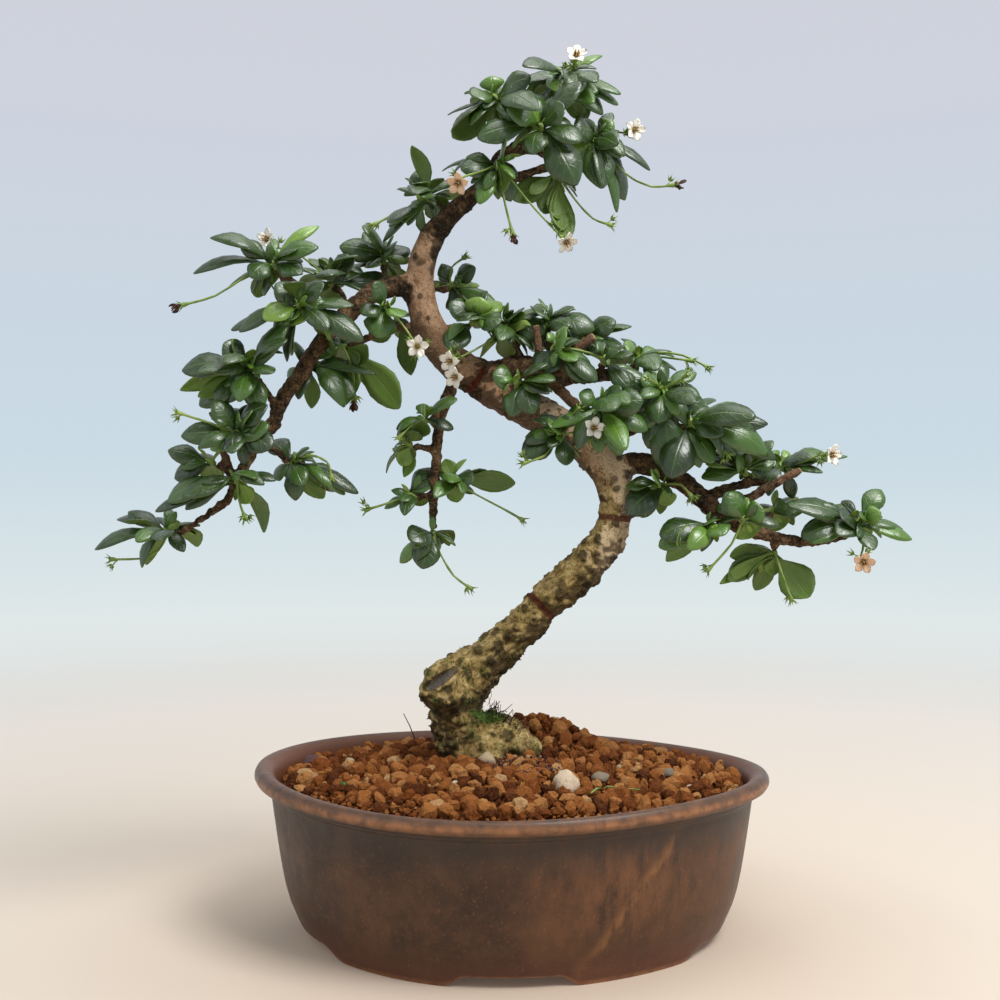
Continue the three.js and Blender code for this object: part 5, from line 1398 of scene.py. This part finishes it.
def grow_leaf(blade, chance):
    """Points, faces and values of one leaf."""
    foot, wide, tip, width, up, _ = blade
    share = (wide - foot).length / ((wide - foot).length + (tip - wide).length)
    roll = chance.uniform(0.08, 0.2)
    narrow = chance.uniform(0.92, 1.06)
    pointed = chance.uniform(0, 0.35)
    twist = chance.uniform(-0.25, 0.25)
    wave = chance.uniform(0, 6)
    youth = 0.8 * max(0, 1 - (tip - foot).length / (12 * MM)) + 0.35 * (chance.random() < 0.07)
    tone = min(1.0, max(0.0, chance.gauss(0.32, 0.18) + youth))

    def on_rib(s):
        return (
            foot * ((s - share) * (s - 1) / share)
            + wide * (s * (s - 1) / (share * (share - 1)))
            + tip * (s * (s - share) / (1 - share))
        )

    top = []
    for s, w in LEAF_STATIONS:
        w *= narrow * (1 - pointed * max(0, (s - 0.5) * 2) ** 1.5)
        centre = on_rib(s)
        forward = (on_rib(s + 0.02) - centre).normalized()
        side = forward.cross(up).normalized()
        rise = side.cross(forward).normalized()
        for u in ACROSS:
            droop = roll * width * (0.5 - abs(u) ** 1.6) * w
            groove = -0.25 * MM * w if u == 0 else 0
            ripple = 0.03 * width * w * u * abs(u) * math.sin(9 * s + wave)
            turned = twist * u * width * 0.12 * s * w
            offset = rise * (droop + groove + ripple + turned)
            top.append((centre + side * (u * w * width / 2) + offset, rise, u, s))
    points = [p for p, _, _, _ in top] + [p - n * LEAF_THICKNESS for p, n, _, _ in top]
    values = [(u, s, tone, side) for side in (0, 1) for _, _, u, s in top]
    return points, sheet_faces(len(LEAF_STATIONS), len(ACROSS)), values


# %% Fill a rosette
# A blade is widest a little beyond its middle.
WIDEST = 0.56


def small_blade(foot, along, up, length, chance):
    """A blade like those that are read, from its foot, direction, facing and length."""
    side = along.cross(up).normalized()
    up = side.cross(along).normalized()
    arch = chance.uniform(0.05, 0.17) * length
    wide = foot + along * length * WIDEST + up * arch
    return foot, wide, foot + along * length - up * arch, length * chance.uniform(0.4, 0.52), up, set()


def fill_rosette(blades, chance):
    """The smaller leaves of a rosette: some among the large ones, two that droop and two young on top."""
    more = []
    for foot, _, tip, _, up, _ in blades + chance.sample(blades, len(blades) // 2):
        other = chance.choice([b for b in blades if (b[0] - foot).length < 9 * MM])
        stray = any_way(chance)
        beside = (other[2] - other[0]).normalized() * 0.9
        along = ((tip - foot).normalized() + beside + stray * 0.5).normalized()
        length = (tip - foot).length * chance.uniform(0.6, 0.9)
        more.append(small_blade(foot + stray * 0.5 * MM, along, up + stray * 0.3, length, chance))
    for _ in range(2):
        foot, _, tip, _, _, _ = chance.choice(blades)
        angle = chance.uniform(0, math.tau)
        out = Vector((math.cos(angle), math.sin(angle), 0))
        along = (out + Vector((0, 0, -chance.uniform(0.3, 1.0)))).normalized()
        length = (tip - foot).length * chance.uniform(0.6, 0.9)
        more.append(small_blade(foot, along, out * 0.6 + Vector((0, 0, 1)), length, chance))
    top = sum((b[4] for b in blades), Vector()).normalized()
    for _ in range(2):
        foot = chance.choice(blades)[0]
        stray = any_way(chance)
        along = (top + stray * 0.8).normalized()
        more.append(small_blade(foot, along, stray.cross(along), chance.uniform(5, 9) * MM, chance))
    return more


# %% Leaves seen in the gaps
# More leaves of each shoot: where the foot and the tip are seen, the width in mm, and how much the upper
# face is turned to the front. A minus turns the underside to the front.
SEEN_LEAVES = {
    "apex_front": [
        ((563, 138), (577, 184), 15, 0.9),
        ((547, 128), (579, 80), 12, 0.6),
        ((540, 126), (521, 93), 11, 0.7),
    ],
    "apex_right": [((585, 124), (566, 150), 11, 0.8), ((603, 125), (625, 155), 8, 0.7)],
    "apex_top": [((580, 86), (619, 102), 9, 0.5)],
    "apex_fork": [((490, 158), (479, 198), 8, 0.6), ((520, 158), (507, 192), 9, -0.4)],
    "centre_top": [((470, 284), (495, 308), 9, 0.7)],
    "centre_right": [((560, 314), (540, 298), 7, 0.4), ((545, 318), (529, 334), 9, 0.8)],
    "centre_flower": [((560, 434), (524, 457), 8, 0.7)],
    "right_stub": [((590, 334), (631, 324), 7, 0.3), ((592, 338), (626, 357), 10, 0.7)],
    "right_in": [((562, 354), (586, 383), 9, 0.7), ((570, 352), (545, 372), 8, 0.7)],
    "right_centre": [
        ((600, 412), (549, 425), 8, 0.5),
        ((612, 412), (648, 429), 10, 0.7),
        ((606, 416), (598, 452), 8, 0.8),
        ((612, 418), (621, 455), 9, 0.8),
    ],
    "right_back": [((640, 380), (661, 405), 9, 0.6), ((650, 402), (690, 408), 9, 0.5)],
    "right_mid": [
        ((664, 408), (670, 474), 15, 0.9),
        ((662, 404), (636, 430), 11, 0.7),
        ((664, 408), (649, 448), 10, 0.8),
    ],
    "right_big": [((690, 425), (742, 432), 12, 0.5), ((690, 425), (706, 462), 10, 0.7)],
    "right_knot": [
        ((744, 470), (712, 433), 9, 0.6),
        ((743, 472), (702, 476), 9, 0.6),
        ((746, 468), (772, 440), 8, 0.5),
    ],
    "right_under": [((672, 481), (627, 513), 14, 0.7)],
    "low_left": [((706, 520), (660, 534), 13, 0.7)],
    "low_mid": [((750, 524), (729, 493), 11, 0.8), ((766, 512), (806, 506), 11, 0.6)],
    "low_end": [((840, 522), (788, 502), 12, 0.6), ((842, 526), (802, 536), 13, 0.8)],
    "left_cut": [
        ((231, 432), (214, 401), 10, 0.7),
        ((234, 432), (266, 404), 11, 0.7),
        ((236, 446), (268, 424), 10, 0.8),
    ],
    "left_main": [((250, 374), (260, 410), 10, 0.8), ((246, 374), (222, 402), 10, 0.8)],
    "left_high": [((290, 318), (254, 366), 10, 0.7), ((288, 304), (238, 329), 9, 0.6)],
    "inner_trunk": [((397, 334), (412, 376), 10, -0.8)],
}


def seen_blade(blades, foot_seen, tip_seen, width, turned):
    """A blade from the foot of the rosette's leaf that is seen nearest, to the tip's place in the picture."""
    foot = min(blades, key=lambda blade: math.dist(seen_at(blade[0]), foot_seen))[0]
    ray = sight(*tip_seen)
    tip = EYE + ray * ((foot.y - 5 * MM - EYE.y) / ray.y)
    along = (tip - foot).normalized()
    side = along.cross(Vector((0, -turned, 1 - 0.6 * abs(turned)))).normalized()
    up = side.cross(along)
    length = (tip - foot).length
    wide = foot + along * length * WIDEST + up * length * 0.08
    return foot, wide, tip - up * length * 0.05, width * MM, up, set()


# %% Buds and calyxes
def side_buds(middle, direction, chance):
    """One or two green buds that stand beside an older one, each on a stalk of its own."""
    parts = []
    for _ in range(chance.choice((0, 1, 1, 2))):
        stray = any_way(chance).normalized()
        away = (direction * 0.5 + stray - direction * stray.dot(direction)).normalized()
        root = middle - direction * chance.uniform(2, 4) * MM
        head = root + away * chance.uniform(3, 4.5) * MM
        parts.append(thread([root, (root + head) / 2 + direction * 0.3 * MM, head], 0.3 * MM, taper=1))
        tip = head + away * 1.6 * MM
        bud_path = [head, head + away * 0.5 * MM, head + away * 1.1 * MM, tip]
        parts.append(thread(bud_path, 0.9 * MM, sides=5, taper=0.2))
        parts.append(grow_sepals(head, away, spread=1.1))
    return parts


def read_calyxes(shape):
    """Where stalks end in a bud: the middle of its widest ring and its direction."""
    found = []
    for tip in shape.verts:
        ring = [e.other_vert(tip) for e in tip.link_edges]
        if len(ring) != 4:
            continue
        spans = [(a.co - b.co).length for a in ring for b in ring]
        reach = (tip.co - sum((v.co for v in ring), Vector()) / 4).length
        if max(spans) < 3.4 * MM and 1.2 * MM < reach < 2.6 * MM:
            middle = sum((v.co for v in ring), Vector()) / 4
            found.append((middle, (tip.co - middle).normalized()))
    return found


def grow_sepals(middle, direction, spread=1.7):
    """Five narrow pointed sepals that stand out round a bud."""
    first = direction.orthogonal().normalized()
    second = direction.cross(first)
    points, faces = [], []
    for i in range(5):
        angle = math.tau * i / 5
        out = first * math.cos(angle) + second * math.sin(angle)
        side = direction.cross(out)
        root = middle + out * 0.8 * MM
        start = len(points)
        points += [
            root - side * 0.45 * MM,
            root + side * 0.45 * MM,
            root - out * 0.35 * MM + direction * 0.5 * MM,
            root + out * spread * MM + direction * 2.4 * MM,
        ]
        faces += [tuple(start + k for k in f) for f in ((0, 1, 2), (0, 3, 1), (1, 3, 2), (2, 3, 0))]
    return points, faces


def stems_of(shape, blades):
    """What is left of a shoot without its blades: stems, stalks and buds, rounded."""
    gone = {v for blade in blades for v in blade[5]}
    bmesh.ops.delete(shape, geom=list(gone), context="VERTS")
    bmesh.ops.holes_fill(shape, edges=[e for e in shape.edges if e.is_boundary], sides=0)
    bmesh.ops.triangulate(shape, faces=[f for f in shape.faces if len(f.verts) > 4])
    mesh = bpy.data.meshes.new("stems")
    shape.to_mesh(mesh)
    made = bpy.data.objects.new("stems", mesh)
    bpy.context.scene.collection.objects.link(made)
    soft = made.modifiers.new("round", "SUBSURF")
    soft.levels = soft.render_levels = 1
    swell = made.modifiers.new("swell", "DISPLACE")
    swell.strength = 0.15 * MM
    swell.mid_level = 0
    baked(made)
    points = [v.co.copy() for v in made.data.vertices]
    faces = [tuple(p.vertices) for p in made.data.polygons]
    old = made.data
    bpy.data.objects.remove(made)
    bpy.data.meshes.remove(old)
    return points, faces


# %% Dress every shoot
leaf_count = 0
all_buds = []
for node in sorted(n for n in nodes if n.startswith("shoot_")):
    chance = random.Random(node)
    shape = cad_shape(node)
    blades = read_blades(shape)
    buds = read_calyxes(shape)
    all_buds += buds
    seen = [seen_blade(blades, *leaf_seen) for leaf_seen in SEEN_LEAVES.get(node[6:], [])]
    grown = [grow_leaf(blade, chance) for blade in blades + seen + fill_rosette(blades, chance)]
    values = [value for one in grown for value in one[2]]
    leaf_faces = sum(len(one[1]) for one in grown)
    extra = [stems_of(shape, blades)] + [grow_sepals(*bud) for bud in buds]
    for bud in buds:
        extra += side_buds(*bud, chance)
    shape.free()
    points, faces = joined([one[:2] for one in grown] + extra)
    values += [(0, 0, 0.5, 0)] * (len(points) - len(values))
    made = mesh_object("leaves_" + node[6:], points, faces, leaf, stalk)
    kinds = [0] * leaf_faces + [1] * (len(faces) - leaf_faces)
    made.data.polygons.foreach_set("material_index", kinds)
    for k, label in enumerate(("across", "along", "tone", "under")):
        store(made, **{label: [v[k] for v in values]})
    place_piece(made, "leaf", node)
    leaf_count += len(blades)
print("leaves:", leaf_count, "buds:", len(all_buds))

# %% [markdown]
# ## Flowers
# Each flower has five petals that open from a short tube, with stamens in the middle. The CAD star
# gives its middle and facing. Older flowers have dropped or dried to a dark brown twist in the calyx.

# %% Petal materials
# Petals are thin and matt. White ones are faintly green at the heart; the peach ones are older.
petals = {}
for name, colours in (("white", ("#b9b070", "#f8f2e4")), ("peach", ("#b8783f", "#f2cca6"))):
    made, tree, shader = new_material(name + "_petal")
    along = add(tree, ATTRIBUTE, attribute_name="along").outputs["Fac"]
    petal_colour = add(tree, RAMP, {"Fac": along}, stops=[(0.1, colours[0]), (0.42, colours[1])])
    finish_material(tree, shader, Base_Color=petal_colour, Roughness=0.6)
    petals[name] = made

anther, tree, shader = new_material("anther")
place = add(tree, COORDS).outputs["Object"]
pollen = add(tree, NOISE, {"Vector": place, "Scale": 1 / (0.5 * MM)})
dust = add(tree, RAMP, {"Fac": pollen}, stops=[(0.3, "#7c4f2c"), (0.7, "#c9a45a")])
finish_material(tree, shader, Base_Color=dust, Roughness=0.8)

withered, tree, shader = new_material("withered_flower")
place = add(tree, COORDS).outputs["Object"]
dried = add(tree, NOISE, {"Vector": place, "Scale": 1 / (0.8 * MM)})
dried_colour = add(tree, RAMP, {"Fac": dried}, stops=[(0.3, "#220c0a"), (0.7, "#5a2a1d")])
finish_material(tree, shader, Base_Color=dried_colour, Roughness=0.7)

# %% Grow the flowers
FLOWER_RADIUS = 4.7 * MM
# Stations along a petal: share of its length, half its width and how far it has opened.
PETAL_ROWS = [(0.12, 0.12, 0.0), (0.34, 0.24, 0.45), (0.56, 0.36, 0.8), (0.8, 0.27, 0.95), (1.0, 0.04, 0.8)]
PETAL_ACROSS = (-1.0, -0.4, 0.4, 1.0)
PETAL_THICKNESS = 0.25 * MM


def grow_flower(centre, facing, chance):
    """Five petals and five stamens. Returns points, faces, a value along each petal and the petals' share."""
    first = facing.orthogonal().normalized()
    second = facing.cross(first)
    points, faces, values = [], [], []
    closing = chance.uniform(0.1, 0.5)
    for i in range(5):
        angle = math.tau * i / 5
        out = first * math.cos(angle) + second * math.sin(angle)
        side = facing.cross(out)
        curl = (chance.uniform(-0.5, 0.5) + 2 * closing) * MM
        start = len(points)
        for level in (0.0, -PETAL_THICKNESS):
            for r, half, rise in PETAL_ROWS:
                for u in PETAL_ACROSS:
                    cup = (0.9 * MM * u * u - 0.2 * MM) * rise
                    lift = 0.9 * MM * rise + cup + curl * r**2 + level
                    reach = out * r * FLOWER_RADIUS * (1 - 0.12 * closing)
                    points.append(centre + reach + side * u * half * FLOWER_RADIUS + facing * lift)
                    values.append(r)
        sheet = sheet_faces(len(PETAL_ROWS), len(PETAL_ACROSS))
        faces += [tuple(start + k for k in face[::-1]) for face in sheet]
    petal_faces = len(faces)
    for i in range(6):
        angle = math.tau * i / 5 + 0.6
        out = (first * math.cos(angle) + second * math.sin(angle)) * (0.22 if i < 5 else 0)
        root = centre + out * FLOWER_RADIUS * 0.6
        head = centre + out * FLOWER_RADIUS + facing * (2.1 if i < 5 else 1.4) * MM
        stamen, sides = thread([root, head, head + facing * 0.5 * MM], 0.34 * MM, sides=3, taper=0.8)
        faces += [tuple(len(points) + k for k in face) for face in sides]
        points += stamen
        values += [0] * len(stamen)
    return points, faces, values, petal_faces


flower_middles = []
for node in sorted(n for n in nodes if n.startswith("flower_")):
    chance = random.Random(node)
    shape = cad_shape(node)
    hubs = [v for v in shape.verts if len(v.link_edges) > 9]
    ring = [v.co for v in shape.verts if len(v.link_edges) <= 9]
    colour = node.split("_")[1]
    points, faces, values, kinds = [], [], [], []
    while len(hubs) > 1:
        one = hubs.pop(0)
        other = min(hubs, key=lambda v: (v.co - one.co).length)
        hubs.remove(other)
        rim_points = [p for p in ring if (p - one.co).length < 6 * MM]
        rim_middle = sum(rim_points, Vector()) / len(rim_points)
        low, high = sorted((one, other), key=lambda v: -(v.co - rim_middle).length)
        facing = (high.co - low.co).normalized()
        flower_middles.append(low.co.copy())
        p, f, v, petal_faces = grow_flower(low.co + facing * 0.5 * MM, facing, chance)
        faces += [tuple(len(points) + k for k in face) for face in f]
        points += p
        values += v
        kinds += [0] * petal_faces + [1] * (len(f) - petal_faces)
    shape.free()
    made = mesh_object("bloom_" + node[7:], points, faces, petals[colour], anther)
    made.data.polygons.foreach_set("material_index", kinds)
    store(made, along=values)
    place_piece(made, colour + "_petal", node)
print("open flowers:", len(flower_middles))

# %% Withered flowers
# Each dried flower sits in the calyx that is seen nearest to its place in the picture.
WITHERED_SEEN = [(678, 187), (197, 310), (510, 228), (276, 349), (284, 372)]
WITHERED_SEEN += [(264, 398), (353, 380), (573, 436), (450, 510)]
FARTHEST_BUD = 30
parts = []
for spot in WITHERED_SEEN:
    near_bud = min(all_buds, key=lambda bud: math.dist(seen_at(bud[0]), spot))
    if math.dist(seen_at(near_bud[0]), spot) > FARTHEST_BUD:
        continue
    chance = random.Random(spot[0])
    heart = near_bud[0] + near_bud[1] * 1.2 * MM
    parts.append(lump_of_stone(heart, 1.3 * MM, spot[0], detail=2))
    for _ in range(5):
        stray = any_way(chance) * 0.8
        length = chance.uniform(2.6, 4.6) * MM
        along = (near_bud[1] + stray + Vector((0, 0, -0.3))).normalized()
        petal = small_blade(heart, along, stray, length, chance)
        parts.append(grow_leaf(petal, chance)[:2])
dried_flowers = mesh_object("dried_flowers", *joined(parts), withered)
place_piece(dried_flowers, "bark")

# %% [markdown]
# ## What has fallen on the soil
# A dry leaf, a thin green sprig and a few crumbs of moss lie on the grains. They are grown by the same
# functions as the parts they fell from, and rest where they are seen.

# %% Dry leaf, sprig and moss crumbs
chance = random.Random(8)
DRY_LEAF_SEEN = ((303, 771), (323, 763))
SPRIG_SEEN = [(591, 802), (597, 797), (608, 795), (622, 797), (640, 798)]
MOSS_CRUMBS_SEEN = [(455, 771), (478, 795), (393, 795), (343, 789), (452, 763)]
foot, tip = (soil_seen(*spot) + Vector((0, 0, 2.5)) * MM for spot in DRY_LEAF_SEEN)
middle = (foot + tip) / 2 + Vector((0, 0, 1.5)) * MM
blade = (foot, middle, tip, 6 * MM, Vector((0.2, -0.3, 1)).normalized(), set())
dry_leaf = mesh_object("dry_leaf", *grow_leaf(blade, chance)[:2], withered)
place_piece(dry_leaf, "leaf")
sprig_path = [soil_seen(*spot) + Vector((0, 0, 3.2)) * MM for spot in SPRIG_SEEN]
sprig = mesh_object("green_sprig", *thread(sprig_path, 0.45 * MM), stalk)
place_piece(sprig, "leaf")
crumbs = [
    lump_of_stone(soil_seen(*spot) + Vector((0, 0, 1.6)) * MM, chance.uniform(1.2, 1.9) * MM, i + 3, detail=2)
    for i, spot in enumerate(MOSS_CRUMBS_SEEN)
]
moss_crumbs = mesh_object("moss_crumbs", *joined(crumbs), moss)
place_piece(moss_crumbs, "leaf")

# %% [markdown]
# ## Drain screens
# Two squares of moulded net lie over the drain holes. Only a little of them can be seen, from below, so
# the CAD solids stay and get a material that is dark between the threads, as painted shade for the holes.

# %% Net material
# Moulded polyethylene is waxy and dull. Its meshes are about 2 mm apart.
net, tree, shader = new_material("moulded_net")
place = add(tree, COORDS).outputs["Object"]
# The squares between the threads are dark as painted shade, standing for the holes.
thread_and_hole_shade_colours = {"Color1": "#14201a", "Color2": "#14201a", "Mortar": "#3f6350"}
mesh_sizes = {"Scale": 1 / (2 * MM), "Mortar Size": 0.2, "Brick Width": 1.0, "Row Height": 1.0}
grid = add(tree, "ShaderNodeTexBrick", {"Vector": place, **thread_and_hole_shade_colours, **mesh_sizes}, offset=0.0)
finish_material(tree, shader, Base_Color=grid, Roughness=0.55)
for node in ("drain_screen_left", "drain_screen_right"):
    nodes[node].data.materials.clear()
    nodes[node].data.materials.append(net)

# %% [markdown]
# ## Floor and light
# A pale floor sweeps up into a round wall, so that every side of the tree has the same quiet ground
# behind it. The wall glows a little, as a lit studio paper does, and so fills the shadows. A broad light
# stands above on the right, and a weaker one on the left.

# %% Stage
# Stations of the sweep, in metres: distance from the middle and height. The colours run along it.
SWEEP_SIDES = 96
SWEEP = [(0.0, 0.0), (0.25, 0.0), (0.5, 0.0), (0.75, 0.0), (1.0, 0.0)]
SWEEP += [(1.0 + 0.5 * math.sin(a), 0.5 - 0.5 * math.cos(a)) for a in np.linspace(0, math.pi / 2, 14)[1:]]
SWEEP += [(1.5, 0.7), (1.5, 0.9), (1.5, 1.2), (1.5, 1.6), (1.5, 2.2)]
paper, tree, shader = new_material("studio_paper")
run = add(tree, ATTRIBUTE, attribute_name="run").outputs["Fac"]
# The floor is darker towards the middle, round the pot's foot, as painted shade.
PAPER_COLOURS = [
    (0.0, "#cbb49d"),
    (0.06, "#d8cbbb"),
    (0.17, "#e1dad1"),
    (0.337, "#dfe7e7"),
    (0.4, "#d2e0e6"),
    (0.437, "#cadae4"),
    (0.486, "#c9d7e2"),
    (0.577, "#cdd3de"),
    (0.62, "#cfd2dc"),
]
paper_colour = add(tree, RAMP, {"Fac": run}, stops=PAPER_COLOURS)
glow = add(tree, RANGE, {"Value": run, "From Min": 0.04, "From Max": 0.34, "To Min": 0.12})
unlit = add(tree, BLEND, {"Factor": glow, "A": paper_colour, "B": "#000000"}, data_type="RGBA")
place = add(tree, COORDS).outputs["Object"]
depth = add(tree, "ShaderNodeSeparateXYZ", {"Vector": place}).outputs["Y"]
far_side = add(tree, RANGE, {"Value": depth, "From Min": -1.0, "From Max": 0.3, "To Min": 0.62})
lit = add(tree, MATH, {0: glow, 1: far_side}, operation="MULTIPLY")
finish_material(tree, shader, Base_Color=unlit, Emission_Color=paper_colour, Emission_Strength=lit)
finish_material(tree, shader, Roughness=0.9, Specular_IOR_Level=0.1)
points, runs = [], []
far = 0.0
for i, (out, high) in enumerate(SWEEP):
    far += math.dist((out, high), SWEEP[i - 1]) if i else 0
    for k in range(SWEEP_SIDES):
        angle = math.tau * k / SWEEP_SIDES
        points.append(Vector((out * math.cos(angle), out * math.sin(angle), high)))
    runs += [far] * SWEEP_SIDES
faces = [face[::-1] for face in ring_faces(len(SWEEP), SWEEP_SIDES)]
backdrop = mesh_object("backdrop", points, faces, paper)
store(backdrop, run=[r / far for r in runs])
backdrop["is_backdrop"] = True

# %% Lights
# Plain colours: the picture was developed without a film look.
bpy.context.scene.view_settings.view_transform = "Standard"
world = bpy.data.worlds.new("room")
world.use_nodes = True
sky_light = world.node_tree.nodes["Background"]
sky_light.inputs["Color"].default_value = linear("#e8eef4")
sky_light.inputs["Strength"].default_value = 0.25
bpy.context.scene.world = world


def soft_box(name, position, target, size, power):
    """A rectangular studio light that points at a target."""
    data = bpy.data.lights.new(name, "AREA")
    data.shape = "RECTANGLE"
    data.size, data.size_y = size
    data.energy = power
    made = bpy.data.objects.new(name, data)
    made.location = position
    made.rotation_euler = (Vector(target) - Vector(position)).to_track_quat("-Z", "Y").to_euler()
    bpy.context.scene.collection.objects.link(made)


soft_box("main_light", (0.55, -0.5, 1.15), (0, 0, 0.15), (0.55, 0.55), 15)
soft_box("top_light", (0.05, 0.1, 1.5), (0, 0, 0.2), (1.1, 1.1), 9)
soft_box("left_fill", (-0.9, -0.6, 0.7), (0, 0, 0.2), (0.8, 0.8), 1.5)

# %% Finish
seen_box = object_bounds()
sizes = {"cad": [list(c) for c in cad_box], "visual": [list(c) for c in seen_box]}
print("visual box:", seen_box)
